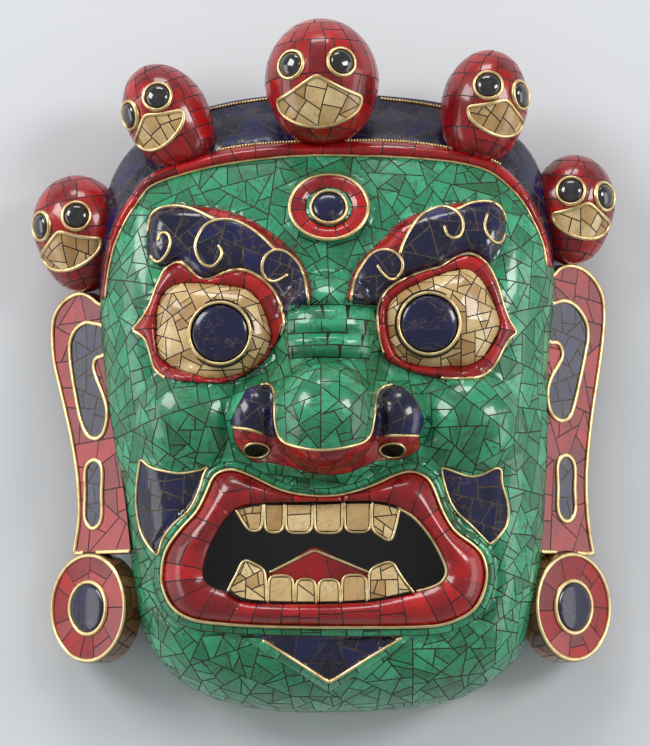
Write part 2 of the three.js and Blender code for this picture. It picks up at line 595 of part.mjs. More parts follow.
// Skulls: an egg, wide at the crown and narrow at the jaw. Crown and jaw are the heights of the egg
// over and under its widest part, and drop is how far the features sit below their usual place, in radii
const SKULLS = {
  skull_far_left: { at: [-120, 68, 24], radius: 23, crown: 1.14, jaw: 1.42, drop: 0.25, lean: 12, turn: -24 },
  skull_left: { at: [-76, 118.5, 44], radius: 20.8, crown: 1.34, jaw: 1.4, drop: -0.03, lean: 29, turn: -29 },
  skull_centre: { at: [-2, 133, 56], radius: 28, crown: 1.12, jaw: 1.09, drop: 0.18, lean: 2, turn: -6 },
  skull_right: { at: [76, 123, 44], radius: 21.4, crown: 1.36, jaw: 1.34, drop: 0, lean: -11, turn: 26 },
  skull_far_right: { at: [120, 79, 24], radius: 21, crown: 1.2, jaw: 1.42, drop: 0.17, lean: -6, turn: 18 },
};
const SKULL_JAW_WIDTH = 0.6;
const SKULL_EYE_AT = [0.44, 0.34];
const SKULL_SIDES = 12;

// Radius of the egg at a height, both in skull radii
function eggRadius(height, { crown, jaw }) {
  if (height > 0) return Math.sqrt(Math.max(0, 1 - (height / crown) ** 2));
  const t = -height / jaw;
  return (1 - (1 - SKULL_JAW_WIDTH) * t ** 1.6) * (1 - t ** 7) ** 0.5;
}

function skullPlace({ at, lean, turn }) {
  return new THREE.Matrix4().makeTranslation(...placed(at))
    .multiply(new THREE.Matrix4().makeRotationZ(degrees(lean)))
    .multiply(new THREE.Matrix4().makeRotationY(degrees(turn)));
}

// The whole egg of a skull, grown by a clearance
function skullEgg(skull, grow = 0) {
  const { radius, crown, jaw } = skull;
  const heights = [-1, -0.97, -0.86, -0.62, -0.3].map((share) => share * jaw);
  heights.push(...[0.05, 0.41, 0.73, 0.93, 1].map((share) => share * crown));
  const profile = heights.map((h, i) => {
    const pole = i === 0 || i === heights.length - 1;
    const out = pole ? 0 : eggRadius(h, skull) * radius + grow;
    return new THREE.Vector2(out, h * radius + grow * Math.sign(h));
  });
  return toManifold(new THREE.LatheGeometry(profile, SKULL_SIDES).applyMatrix4(skullPlace(skull)));
}

function buildSkull(name, skull) {
  const { radius, crown, drop } = skull;
  const place = skullPlace(skull);
  let solid = mainBody(skullEgg(skull).subtract(cutter));
  const turnOnly = new THREE.Matrix4().extractRotation(place);
  for (const [side, sign] of [['left', -1], ['right', 1]]) {
    const [ex, ey] = [SKULL_EYE_AT[0] * sign, SKULL_EYE_AT[1] - drop];
    const around = eggRadius(ey, skull);
    const local = new THREE.Vector3(ex, ey, Math.sqrt(around ** 2 - ex ** 2));
    const normal = new THREE.Vector3(local.x, local.y / crown ** 2, local.z);
    const point = local.multiplyScalar(radius).applyMatrix4(place);
    normal.applyMatrix4(turnOnly).normalize();
    point.addScaledVector(normal, -0.7);
    solid = inlay(`${name}_eye_${side}`, solid, { point, normal },
      { radius: SKULL_EYE_RADIUS, rise: SKULL_EYE_RISE, seat: SKULL_EYE_SEAT, sides: 8, finish: 'onyx',
        ringTop: 0.9 });
  }
  add(name, toGeometry(mainBody(solid)), 'coral');
}

for (const [name, skull] of Object.entries(SKULLS)) buildSkull(name, skull);

// Ear discs: thick rounds turned outward, each with a lapis centre in two brass rings
const DISC_FRONT = SIDE_HEIGHT + 1;
const DISCS = {
  left: placed([-114, -116.5, DISC_FRONT]),
  right: placed([118.5, -116, DISC_FRONT]),
};
function discPlace(side) {
  return new THREE.Matrix4().makeTranslation(...DISCS[side])
    .multiply(new THREE.Matrix4().makeRotationY(degrees(side === 'left' ? -DISC_TURN : DISC_TURN)));
}

// Ears: flat carved lobes turned outward, drawn as seen from the front; the inner side goes on into
// the shell, which cuts it, and the foot, from its outer to its inner end, stands on the disc
const EAR_ROOT_HEIGHT = SIDE_HEIGHT + 5;   // front of the ear where it meets the shell
const EAR_ROOT = 107 * WIDEN;              // sideways place of that line
const EAR_FOOT_OVERLAP = 1.25;             // how far the foot is drawn into the round of the disc
const EARS = {
  left: [[-88, -60], [-95, -20], [-101, 10], [-104, 30], [-108.5, 30], [-114.5, 35], [-120, 37], [-127, 34.5],
    [-132.5, 28.5], [-134.5, 20], [-133.5, 4.5], [-130.5, -8], [-124, -34], [-120.5, -54], [-119.5, -72],
    [-121, -84]],
  right: [[96, -50], [98, 0], [100, 30], [103, 42], [109, 44], [112.5, 48], [118.5, 50.5], [126, 49],
    [132.5, 43.5], [136.5, 34.5], [136.5, 20], [134, 1.5], [130, -22], [127.5, -42], [126.5, -58],
    [127.5, -76]],
};
const EAR_FEET = { left: [-122, -86], right: [130, 94] };

function buildEar(side) {
  const sign = side === 'left' ? -1 : 1;
  const foot = DISCS[side][1] + DISC_RADIUS - EAR_FOOT_OVERLAP;
  const corner = (x) => [[x * WIDEN, foot], [x * WIDEN, foot]];
  const front = [...EARS[side].map(placed), ...EAR_FEET[side].flatMap(corner)];
  const squeeze = Math.cos(degrees(EAR_TURN));
  const flat = curve(front.map(([x, y]) => [(x - sign * EAR_ROOT) / squeeze, y]), true, 1);
  const round = 1.6;
  const geometry = new THREE.ExtrudeGeometry(shapeOf(flat), {
    depth: EAR_THICKNESS - 2 * round,
    bevelThickness: round,
    bevelSize: round,
    bevelOffset: -round,
    bevelSegments: 1,
  });
  geometry.translate(0, 0, round - EAR_THICKNESS);
  geometry.rotateY(degrees(EAR_TURN * sign));
  geometry.translate(sign * EAR_ROOT, 0, EAR_ROOT_HEIGHT);
  return mainBody(toManifold(geometry).subtract(prism(ring(OUTLINE, 9, -GAP), 0, FACE_HEIGHT)));
}

function buildDisc(side) {
  const place = discPlace(side);
  const edge = DISC_RADIUS - DISC_EDGE_ROUND;
  const groove = DISC_RADIUS - WIRE / 2 - 0.6;
  const round = turned([[0, -DISC_THICKNESS], [edge, -DISC_THICKNESS],
    [DISC_RADIUS, DISC_EDGE_ROUND - DISC_THICKNESS], [DISC_RADIUS, -GAP * 2], [0, -GAP * 2]], DISC_SIDES);
  let disc = mainBody(toManifold(round.applyMatrix4(place)).subtract(cutter));
  const rim = toManifold(wireRing(groove, -GAP, WIRE_RISE, DISC_SIDES).applyMatrix4(place)).subtract(cutter);
  add(`ear_disc_${side}_rim`, toGeometry(mainBody(rim)), 'brass');
  const normal = new THREE.Vector3(0, 0, 1).applyMatrix4(new THREE.Matrix4().extractRotation(place));
  const point = new THREE.Vector3(0, 0, 0).applyMatrix4(place);
  disc = inlay(`ear_disc_${side}_stone`, disc, { point, normal },
    { radius: DISC_RING_RADIUS - WIRE, rise: 1.6, seat: 1.8, sides: 12, finish: 'lapis' });
  add(`ear_disc_${side}`, toGeometry(mainBody(disc)), 'coral');
}

for (const side of ['left', 'right']) {
  buildDisc(side);
  const clear = turned([[0, -DISC_THICKNESS - 20], [DISC_RADIUS + GAP, -DISC_THICKNESS - 20],
    [DISC_RADIUS + GAP, 20], [0, 20]], DISC_SIDES);
  const ear = mainBody(buildEar(side).subtract(toManifold(clear.applyMatrix4(discPlace(side))))
    .subtract(skullEgg(SKULLS[`skull_far_${side}`], GAP)));
  add(`ear_${side}`, toGeometry(ear), 'coral');
}

// Teeth: two rows, each a scalloped bar behind the lip, with fangs at the ends
const TIP_TAPER = 0.12;        // how far a side leans in by the tip, in tooth widths
const END_TAPER = 0.38;
function toothRow(xs, root, tips) {
  const outline = [[xs[0], root], [xs.at(-1), root]];
  for (let i = xs.length - 2; i >= 0; i--) {
    const [from, to] = [xs[i + 1], xs[i]];
    const width = from - to;
    const [right, left] = [i === xs.length - 2 ? END_TAPER : TIP_TAPER, i === 0 ? END_TAPER : TIP_TAPER];
    outline.push([from - width * right / 3, (root + tips[i]) / 2], [from - width * right, tips[i]],
      [to + width * left, tips[i]], [to + width * left / 3, (root + tips[i]) / 2]);
  }
  return outline;
}

function buildTeeth(name, xs, root, tips) {
  const geometry = new THREE.ExtrudeGeometry(shapeOf(toothRow(xs, root, tips)), {
    depth: TOOTH_DEPTH - TOOTH_EDGE,
    bevelThickness: TOOTH_EDGE,
    bevelSize: 0.5,
    bevelOffset: -0.5,
    bevelSegments: 1,
  });
  const solid = toManifold(geometry.translate(0, 0, TOOTH_FRONT - TOOTH_DEPTH));
  add(name, toGeometry(mainBody(solid.intersect(mouthSpace()))), 'bone');
}

// The mouth opening, narrowed by the clearance
const mouthSpace = () => prism(ring(MOUTH, 5, GAP), 0, FACE_HEIGHT * 2);

const wide = (xs) => xs.map((x) => x * WIDEN);
const tall = (ys) => ys.map((y) => y * HEIGHTEN);
const UPPER_TEETH_X = wide([-41, -29, -19.2, -5.8, 8, 21, 34.5]);
const UPPER_TEETH_TIPS = tall([-82, -83, -83.2, -83.2, -82.8, -86.5]);
const LOWER_TEETH_X = wide([-45.5, -27.2, -14.6, -4.2, 6.4, 18.8, 39.5]);
const LOWER_TEETH_TIPS = tall([-97, -103, -104, -104.5, -103, -95.5]);
const [UPPER_GUM, LOWER_GUM] = tall([-66, -119]);   // roots, hidden behind the lips
buildTeeth('upper_teeth', UPPER_TEETH_X, UPPER_GUM, UPPER_TEETH_TIPS);
buildTeeth('lower_teeth', LOWER_TEETH_X, LOWER_GUM, LOWER_TEETH_TIPS);

// Tongue: a flat wedge lying behind the lower teeth
const TONGUE = [[-27, -119], [21, -119], [21, -101.5], [-4, -89.5], [-7, -89.5], [-27, -101.5]].map(placed);
{
  const geometry = new THREE.ExtrudeGeometry(shapeOf(TONGUE), {
    depth: TONGUE_DEPTH - 1,
    bevelThickness: 1,
    bevelSize: 1,
    bevelOffset: -1,
    bevelSegments: 1,
  });
  const behindTeeth = TOOTH_FRONT - TOOTH_DEPTH - TOOTH_EDGE - GAP;
  geometry.translate(0, 0, Math.min(TONGUE_FRONT, behindTeeth) - TONGUE_DEPTH);
  add('tongue', toGeometry(mainBody(toManifold(geometry).intersect(mouthSpace()))), 'coral');
}

// The origin is the middle of the whole mask, on the plane of the back rim
const middle = new THREE.Box3().setFromObject(mask).getCenter(new THREE.Vector3());
mask.position.set(-middle.x, -middle.y, 0);

export default mask;
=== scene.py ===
"""Looks of the mosaic mask: stone chips, brass wires, smooth inlays, the stained wooden inside,
soft studio light and the camera. Shapes are drawn in millimetres in the carver's frame, which
part.mjs draws in too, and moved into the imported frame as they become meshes."""
import math

import bmesh
import bpy
import numpy as np
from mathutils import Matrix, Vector
from mathutils.geometry import delaunay_2d_cdt
from mathutils.kdtree import KDTree


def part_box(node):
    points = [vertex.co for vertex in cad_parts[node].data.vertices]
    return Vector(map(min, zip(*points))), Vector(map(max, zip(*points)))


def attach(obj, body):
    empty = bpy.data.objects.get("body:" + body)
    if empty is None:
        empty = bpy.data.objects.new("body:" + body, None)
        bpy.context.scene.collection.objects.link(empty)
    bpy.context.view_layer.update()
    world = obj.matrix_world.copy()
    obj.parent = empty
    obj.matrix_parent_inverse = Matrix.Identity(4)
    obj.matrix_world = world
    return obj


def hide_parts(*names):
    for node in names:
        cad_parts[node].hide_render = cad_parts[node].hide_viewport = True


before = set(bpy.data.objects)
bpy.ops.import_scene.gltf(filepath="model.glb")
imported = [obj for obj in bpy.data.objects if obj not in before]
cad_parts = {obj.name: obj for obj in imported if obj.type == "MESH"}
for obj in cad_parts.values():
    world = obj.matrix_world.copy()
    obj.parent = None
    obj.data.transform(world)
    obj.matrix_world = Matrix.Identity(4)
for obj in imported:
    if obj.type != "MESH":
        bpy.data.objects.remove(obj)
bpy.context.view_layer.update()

MM = 0.001

# Sizes of the carving, millimetres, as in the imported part
FACE_HEIGHT = 74.0
SIDE_HEIGHT = 28.0
ROLL = 27.0
SHELL = 9.0
BOW = 11.0
FOREHEAD_DROP = 10.0
FOREHEAD_START = 20.0
CHIN_START = -95.0
CHIN_DROP = 9.0
BAND_RISE = 4.5
BROW_RISE = 7.5
LID_RISE = 3.2
EYEBALL_RISE = 10.0
EYEBALL_WIDTH = 21.0
LIP_RISE = 8.0
LIP_BEAD_RISE = 2.2
LIP_BEAD_WIDTH = 4.0
LIP_GROOVE_DEPTH = 1.6
BOSS_RISE = 4.0
CHIN_FRAME_RISE = 2.2
WRINKLE_DEPTH = 2.8
WRINKLES = (22.5, 9.0, -2.5)
WRINKLE_WIDTH = 1.9
WRINKLE_REACH = 21.0
NOSTRIL_DEPTH = 5.0
NOSTRILS = ((-32.0, -45.0), (30.5, -45.0))
NOSTRIL_RADII = (4.0, 2.4)
MUZZLE_RISE = 5.0
NOSE_POCKET = 16.0
MOUTH_POCKET = 6.0
WIRE = 1.7
IRIS_RADIUS = 13.2
THIRD_EYE_RADIUS = 18.6
THIRD_EYE_STONE_RADIUS = 7.4
SKULL_EYE_RADIUS = 5.6
EAR_THICKNESS = 7.0
EAR_TURN = 40.0
EAR_ROOT = 107.0
EAR_ROOT_HEIGHT = 33.0
DISC_RADIUS = 26.5
DISC_THICKNESS = 11.0
DISC_TURN = 42.0
DISC_RING_RADIUS = 13.0
TOOTH_FRONT = 80.0


def curve(points, closed=True, per_span=4):
    """Smooth curve through points; a point written twice is a sharp corner."""
    points = [np.array(p, float) for p in points]
    last = len(points)
    at = (lambda i: points[i % last]) if closed else (lambda i: points[min(max(i, 0), last - 1)])
    path = []
    for i in range(last if closed else last - 1):
        a, b, c, d = at(i - 1), at(i), at(i + 1), at(i + 2)
        if np.linalg.norm(c - b) < 1e-6:
            continue
        for k in range(per_span):
            t = k / per_span
            path.append(0.5 * (2 * b + (c - a) * t + (2 * a - 5 * b + 4 * c - d) * t ** 2
                               + (3 * b - a - 3 * c + d) * t ** 3))
    if not closed:
        path.append(points[-1])
    return np.array(path)


# Outline of the wooden shell, clockwise from the top of the head
OUTLINE = curve([(0, 134), (28, 132.5), (56, 129), (78, 122), (96, 109), (106, 90), (110, 62), (110.5, 34),
                 (108, 6), (106.5, -26), (106, -56), (104, -86), (100.5, -114), (94, -136), (80, -151),
                 (60, -161), (34, -165), (0, -166.5), (-32, -165), (-57, -158.5), (-77, -145), (-89, -124),
                 (-93.5, -94), (-97, -66), (-101, -42), (-106, -12), (-109, 20), (-110, 56), (-106, 86),
                 (-96, 105), (-78, 119), (-56, 127.5), (-28, 132.5)])
BAND_INNER = [(-105, 31), (-104.5, 38), (-101.5, 53), (-96.5, 65), (-90, 75.5), (-83, 84), (-62, 91),
              (-42, 95), (-13, 98), (19, 98), (44, 97), (64, 95), (78, 91), (87, 84), (94, 76), (100, 65),
              (104, 55), (105, 46)]
BAND_OUTER = [(108.5, 46), (107.5, 56), (104, 66), (99.5, 76), (93, 85.5), (83, 95), (64, 101.5),
              (35, 105.5), (0, 105.5), (-17, 105), (-37, 103.5), (-52, 101), (-66, 96.5), (-84, 90),
              (-93, 80), (-100, 68), (-104.5, 56), (-107.5, 42), (-108.5, 31)]


def with_ends(points):
    return [points[0], *points, points[-1]]


BAND = curve(with_ends(BAND_INNER) + with_ends(BAND_OUTER))
LEFT_BROW_FOOT = [(-20, 18.5), (-22.5, 26.5), (-27, 33), (-34, 38), (-41.5, 40), (-49.5, 38.5), (-55.5, 36),
                  (-60, 37), (-65, 42), (-70, 45), (-77, 43), (-82, 46), (-84.5, 52)]
RIGHT_BROW_FOOT = [(85, 65.5), (84.5, 58), (82.5, 53), (77, 44), (77, 44), (74, 46), (69.5, 48.5), (64.5, 48.5),
                   (58, 45.5), (53, 42), (45.5, 40), (34.5, 35), (28, 30), (24.5, 23.5), (24.5, 23.5)]
LEFT_BROW = curve([(-84.5, 60), (-83.5, 67), (-80, 71.5), (-73, 73), (-66, 73), (-57, 72), (-47.5, 70), (-37, 66),
                   (-29, 61), (-18.5, 52.5), (-11, 43), (-7.5, 33.5), (-7, 23), (-7, 23), *LEFT_BROW_FOOT])
RIGHT_BROW = curve([(10.5, 24), (11, 32.5), (13, 39.5), (18.5, 47.5), (28, 57), (35.5, 64.5), (47, 70),
                    (59, 73.5), (72, 75.5), (80, 74.5), (84, 71), *RIGHT_BROW_FOOT])
LEFT_LID_POINTS = [(-91.5, 13), (-91.5, 13), (-86.5, 18), (-82.5, 25), (-79.5, 33.5), (-76, 41), (-70, 45),
                   (-65, 42.5), (-60.5, 37.5), (-55.5, 36), (-49.5, 38.5), (-41.5, 40.5), (-34, 38.5),
                   (-27, 33.5), (-22.5, 27), (-20, 19), (-19.5, 13.5), (-21.5, 8), (-24.5, 3.5), (-30, -4),
                   (-36.5, -9), (-44, -12), (-53, -13.5), (-63.5, -13), (-74.5, -10.5), (-80, -6), (-82.5, 2),
                   (-85, 9)]
RIGHT_LID_POINTS = [(90, 11.5), (90, 11.5), (86.5, 9.5), (83.5, 5), (81, 0), (77.5, -5.5), (71.5, -10),
                    (64, -11), (53.5, -10.5), (42, -8.5), (32, -4.5), (28, -1.5), (25, 7), (24, 15.5),
                    (24.5, 23.5), (28, 30), (34.5, 35), (46, 40), (53.5, 42), (58.5, 45.5), (64.5, 48.5),
                    (69.5, 48.5), (75, 45), (78.5, 39), (81, 32.5), (83, 25), (86, 17)]
LEFT_LID, RIGHT_LID = curve(LEFT_LID_POINTS), curve(RIGHT_LID_POINTS)
LEFT_EYEBALL = curve([(-79.5, 14), (-79.5, 20.5), (-78, 26.5), (-74.5, 31.5), (-67.5, 34.5), (-55.5, 34),
                      (-44, 32.5), (-36, 30.5), (-30.5, 24), (-27, 15), (-25.5, 8.5), (-28, 1), (-33, -5.5),
                      (-39.5, -8.5), (-51.5, -11), (-59.5, -10), (-71, -5.5), (-78, 0), (-79.5, 7.5)])
RIGHT_EYEBALL = curve([(28.5, 16), (29, 23), (34.5, 29.5), (43.5, 34.5), (53.5, 38.5), (60, 40.5),
                       (67.5, 41), (73.5, 35.5), (77, 29.5), (80, 22), (81.5, 15), (78.5, 7), (73.5, -0.5),
                       (66, -4.5), (57, -5), (49.5, -5.5), (42, -4.5), (34.5, -1.5), (30, 7)])
IRISES = {"left": (-49.5, 9.5), "right": (48.0, 14.0)}
THIRD_EYE = (1.3, 71.0)
THIRD_EYE_SQUASH = 0.88
LIPS = curve([(-52.5, -57), (-48, -54), (-41, -54), (-32, -58), (-21, -63.5), (-10, -66), (1.5, -66.5),
              (12.5, -64.5), (23.5, -60.5), (32.5, -56), (40.5, -54.5), (47.5, -58), (51, -65), (54, -73),
              (59.5, -82), (68.5, -88.5), (73, -94), (74.5, -103), (72, -113), (67, -119.5), (58, -124),
              (48, -126), (26, -126.5), (-2, -126.5), (-30, -126), (-52, -124.5), (-63, -122.5),
              (-71, -117.5), (-75.5, -109.5), (-76.5, -102), (-74.5, -91), (-67, -80.5), (-60, -73),
              (-55.5, -64)])
MOUTH = curve([(-41.5, -72), (-30, -69.5), (-5.5, -69), (20.5, -68.5), (31.5, -70.5), (40.5, -75),
               (47.5, -82.5), (53, -91.5), (56.5, -100.5), (54, -106), (48.5, -109), (40, -111),
               (19.5, -115), (-7.5, -116), (-35.5, -115), (-45.5, -110.5), (-53.5, -107.5), (-57, -103),
               (-56, -94), (-51.5, -84), (-47, -77)])
CHIN_PATCH = np.array([(-29, -132.5), (34.5, -131.5), (1.5, -152)])
CHIN_FRAME = np.array([(-40, -130.5), (43, -129.5), (1.5, -156.5)])

# Inlaid fields of other stone: their outlines on the face
LEFT_BROW_BLUE = curve([(-84.5, 60), (-83.5, 67), (-80, 71), (-72, 72.5), (-65, 71), (-57, 67), (-52, 64),
                        (-52, 64), (-44, 64), (-36.5, 60.5), (-30, 55.5), (-24, 49), (-24, 49), (-18.5, 48),
                        (-13, 42.5), (-10, 35.5), (-9, 28), (-8, 22), (-8, 22), (-14, 21), *LEFT_BROW_FOOT])
RIGHT_BROW_BLUE = curve([(11.5, 23.5), (12.5, 29), (13.5, 35), (16.5, 41), (20, 46), (24.5, 49), (29.5, 49),
                         (34.5, 48), (34.5, 48), (37, 54), (40.5, 61.5), (45.5, 67.5), (51, 70.5), (56, 71.5),
                         (60.5, 69.5), (60.5, 69.5), (64, 71), (67, 73), (74.5, 75), (80, 74.5), (83.5, 71),
                         *RIGHT_BROW_FOOT])
LEFT_WING = curve([(-29.5, -14.5), (-26.5, -14), (-24, -18), (-23.5, -25), (-23, -34), (-21.5, -40),
                   (-21.5, -40), (-28.5, -38), (-43, -34.5), (-43, -34.5), (-44, -32), (-39.5, -22.5),
                   (-36, -16.5)])
RIGHT_WING = curve([(30, -14.5), (25, -16.5), (23, -21.5), (22, -30), (20, -40), (20, -40), (26.5, -38.5),
                    (43, -38.5), (43, -38.5), (45, -33.5), (45, -30), (42, -23.5), (36.5, -17)])
NOSE_RED = curve([(-43, -34.5), (-43, -34.5), (-28.5, -38), (-21.5, -41), (-15, -44.5), (-7, -46.5),
                  (2.5, -46.5), (12.5, -44.5), (20, -40), (26.5, -38.5), (43, -38.5), (43, -38.5),
                  (43, -44), (35, -48.5), (25, -49.5), (19, -52), (9, -56), (-3.5, -56.5), (-16.5, -53),
                  (-26, -50.5), (-33, -50), (-39, -46), (-42.5, -40)])
LEFT_PATCH = curve([(-87, -47), (-87, -47), (-82.5, -51.5), (-74.5, -54), (-67, -55), (-59, -53.5),
                    (-54.5, -51.5), (-54.5, -51.5), (-57, -56), (-59, -63.5), (-63.5, -72.5),
                    (-70.5, -78.5), (-76, -85.5), (-78, -93.5), (-78, -93.5), (-83, -88.5), (-87, -81),
                    (-89, -70.5), (-89, -60.5)])
RIGHT_PATCH = curve([(53.5, -52), (53.5, -52), (60.5, -54.5), (67, -56.5), (72.5, -55.5), (79.5, -52),
                     (82, -53), (82, -53), (82, -59.5), (84, -66), (85, -72.5), (84, -79.5), (76.5, -88.5),
                     (76.5, -88.5), (69.5, -81), (64, -76), (58.5, -70), (55.5, -62)])


def depth_in(path, points):
    """Distance of each point from a closed path, positive inside it."""
    points = np.atleast_2d(points)
    a = path
    b = np.roll(path, -1, axis=0)
    nearest = np.full(len(points), np.inf)
    inside = np.zeros(len(points), bool)
    x, y = points[:, 0], points[:, 1]
    for (ax, ay), (bx, by) in zip(a, b):
        dx, dy = bx - ax, by - ay
        t = np.clip(((x - ax) * dx + (y - ay) * dy) / (dx * dx + dy * dy), 0, 1)
        nearest = np.minimum(nearest, (x - ax - dx * t) ** 2 + (y - ay - dy * t) ** 2)
        if ay != by:
            inside ^= ((ay > y) != (by > y)) & (x < ax + (y - ay) * dx / dy)
    return np.sqrt(nearest) * np.where(inside, 1, -1)


def shoulder(depth, width):
    return np.sqrt(1 - (1 - np.clip(depth / width, 0, 1)) ** 2)


def hump(t):
    return np.where((t > 0) & (t < 1), np.sin(math.pi * np.clip(t, 0, 1)), 0)


def soft_max(a, b, blend):
    h = np.clip(0.5 + (a - b) / (2 * blend), 0, 1)
    return b + (a - b) * h + blend * h * (1 - h)


# Rounded masses of the face: centre, radii and how softly they grow out of it
MASSES = (
    ((-63, -28.5, 57), (27, 27, 26), 4),
    ((66, -31, 57), (27, 27, 26), 4),
    ((0.5, 6, 68), (25, 34, 22), 6),
    ((-33, -30, 76), (13.5, 17, 15), 3),
    ((33.5, -30, 76), (13.5, 17, 15), 3),
    ((-0.5, -30, 87), (24.5, 26, 25.5), 4),
)
MASS_SKIRT = 30.0


def flat_height(x, y):
    forehead = np.maximum(0, y - FOREHEAD_START) / 55
    chin = np.maximum(0, CHIN_START - y) / 60
    return FACE_HEIGHT - BOW * (x / 100) ** 2 - FOREHEAD_DROP * forehead ** 2 - CHIN_DROP * chin ** 2


def shell_height(x, y, depth):
    return SIDE_HEIGHT + (flat_height(x, y) - SIDE_HEIGHT) * shoulder(depth, ROLL)


def carved_height(points):
    """Height of the carved face over the rim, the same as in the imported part."""
    x, y = points[:, 0], points[:, 1]
    depth = depth_in(OUTLINE, points)
    z = shell_height(x, y, depth)
    z += MUZZLE_RISE * np.clip(depth / ROLL, 0, 1) * np.exp(-(x / 60) ** 2 - ((y + 92) / 42) ** 2)
    for at, radii, blend in MASSES:
        reach = np.hypot((x - at[0]) / radii[0], (y - at[1]) / radii[1])
        mass = at[2] + radii[2] * np.sqrt(np.maximum(0, 1 - reach ** 2)) - MASS_SKIRT * np.maximum(0, reach - 1)
        z = soft_max(z, mass, blend)
    for line in WRINKLES:
        z -= WRINKLE_DEPTH * np.exp(-((y - line) / WRINKLE_WIDTH) ** 2 - (x / WRINKLE_REACH) ** 4)

    def near(path, margin, work):
        low, high = path.min(axis=0) - margin, path.max(axis=0) + margin
        pick = np.where(((points > low) & (points < high)).all(axis=1))[0]
        z[pick] += work(points[pick])

    near(BAND, 1, lambda p: BAND_RISE * shoulder(depth_in(BAND, p), 3.8))
    for brow in (LEFT_BROW, RIGHT_BROW):
        near(brow, 1, lambda p: BROW_RISE * shoulder(depth_in(brow, p), 8))

    def eye(lid, ball, p):
        from_lid, from_ball = depth_in(lid, p), depth_in(ball, p)
        rise = 0.8 + EYEBALL_RISE * shoulder(from_ball, EYEBALL_WIDTH) ** 1.15
        share = np.clip(from_lid / np.maximum(from_lid - from_ball, 1e-6), 0, 1)
        roll = 0.8 + LID_RISE * np.sin(math.pi * (0.1 + 0.8 * share))
        return np.where(from_ball > 0, rise, np.where(from_lid > 0, roll, 0))

    for lid, ball in ((LEFT_LID, LEFT_EYEBALL), (RIGHT_LID, RIGHT_EYEBALL)):
        near(lid, 1, lambda p: eye(lid, ball, p))
    boss = np.hypot(x - THIRD_EYE[0], (y - THIRD_EYE[1]) / THIRD_EYE_SQUASH)
    z += BOSS_RISE * shoulder(THIRD_EYE_RADIUS + WIRE - boss, 3) - 1.6 * hump((boss - 8.5) / 5)

    def mouth(p):
        from_lips, from_mouth = depth_in(LIPS, p), depth_in(MOUTH, p)
        across = np.where(from_mouth < 0, from_lips / np.maximum(from_lips - from_mouth, 1e-6), 1)
        lips = 1.2 + (LIP_RISE - 1.2) * np.sin(math.pi * np.clip(0.02 + 0.86 * across, 0, 1))
        rise = np.where(from_lips > 0, lips, 0)
        rise += LIP_BEAD_RISE * hump(-from_lips / LIP_BEAD_WIDTH)
        return rise - LIP_GROOVE_DEPTH * hump((-from_lips - LIP_BEAD_WIDTH) / 3.5)

    near(LIPS, 9, mouth)
    near(CHIN_FRAME, 1, lambda p: CHIN_FRAME_RISE * shoulder(depth_in(CHIN_FRAME, p), 2)
         * (1 - shoulder(depth_in(CHIN_PATCH, p), 1.5)))
    for nx, ny in NOSTRILS:
        off = np.hypot((x - nx) / NOSTRIL_RADII[0], (y - ny) / NOSTRIL_RADII[1])
        z -= NOSTRIL_DEPTH * np.clip(1.5 - off, 0, 1)
    return z


def hollow_height(points):
    x, y = points[:, 0], points[:, 1]
    depth = np.maximum(0, depth_in(OUTLINE, points) - SHELL)
    nose = NOSE_POCKET * np.exp(-(x / 17) ** 2 - ((y + 26) / 20) ** 2)
    mouth = MOUTH_POCKET * np.exp(-(x / 50) ** 2 - ((y + 92) / 30) ** 2)
    return shell_height(x, y, depth) - SHELL + nose + mouth


# The carved face on a fine grid, read back by interpolation wherever a chip or a wire lies
GRID_STEP = 0.5
GRID_LOW = np.array((-114.0, -170.0))
GRID_SIZE = (457, 617)
_gx, _gy = np.meshgrid(GRID_LOW[0] + GRID_STEP * np.arange(GRID_SIZE[0]),
                       GRID_LOW[1] + GRID_STEP * np.arange(GRID_SIZE[1]), indexing="ij")
HEIGHTS = carved_height(np.stack((_gx.ravel(), _gy.ravel()), axis=1)).reshape(GRID_SIZE)
SLOPES = np.stack(np.gradient(HEIGHTS, GRID_STEP), axis=-1)


def read_grid(values, points):
    cell = (np.asarray(points) - GRID_LOW) / GRID_STEP
    cell = np.clip(cell, 0, np.array(GRID_SIZE) - 1.001)
    i, j = np.floor(cell).astype(int).T
    u, v = (cell - np.floor(cell)).T
    if values.ndim == 3:
        u, v = u[:, None], v[:, None]
    return ((values[i, j] * (1 - u) + values[i + 1, j] * u) * (1 - v)
            + (values[i, j + 1] * (1 - u) + values[i + 1, j + 1] * u) * v)


def face_surface(points):
    """Places and outward normals on the carved face."""
    points = np.asarray(points, float)
    slope = read_grid(SLOPES, points)
    normal = np.stack((-slope[:, 0], -slope[:, 1], np.ones(len(points))), axis=1)
    normal /= np.linalg.norm(normal, axis=1)[:, None]
    return np.column_stack((points, read_grid(HEIGHTS, points))), normal


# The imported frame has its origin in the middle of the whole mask; the drawing has it between the eyes
_body_low, _body_high = (np.array(corner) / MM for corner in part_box("mask_body"))
DRAWING_SCALE = np.array((*((_body_high - _body_low)[:2] / np.ptp(OUTLINE, axis=0)), 1.0))
DRAWING_TO_FRAME = np.array((*(_body_low[:2] - OUTLINE.min(axis=0) * DRAWING_SCALE[:2]), 0.0))


def to_frame(points):
    return (np.asarray(points, float) * DRAWING_SCALE + DRAWING_TO_FRAME) * MM


# Materials

BLACK, WHITE = (0, 0, 0), (1, 1, 1)


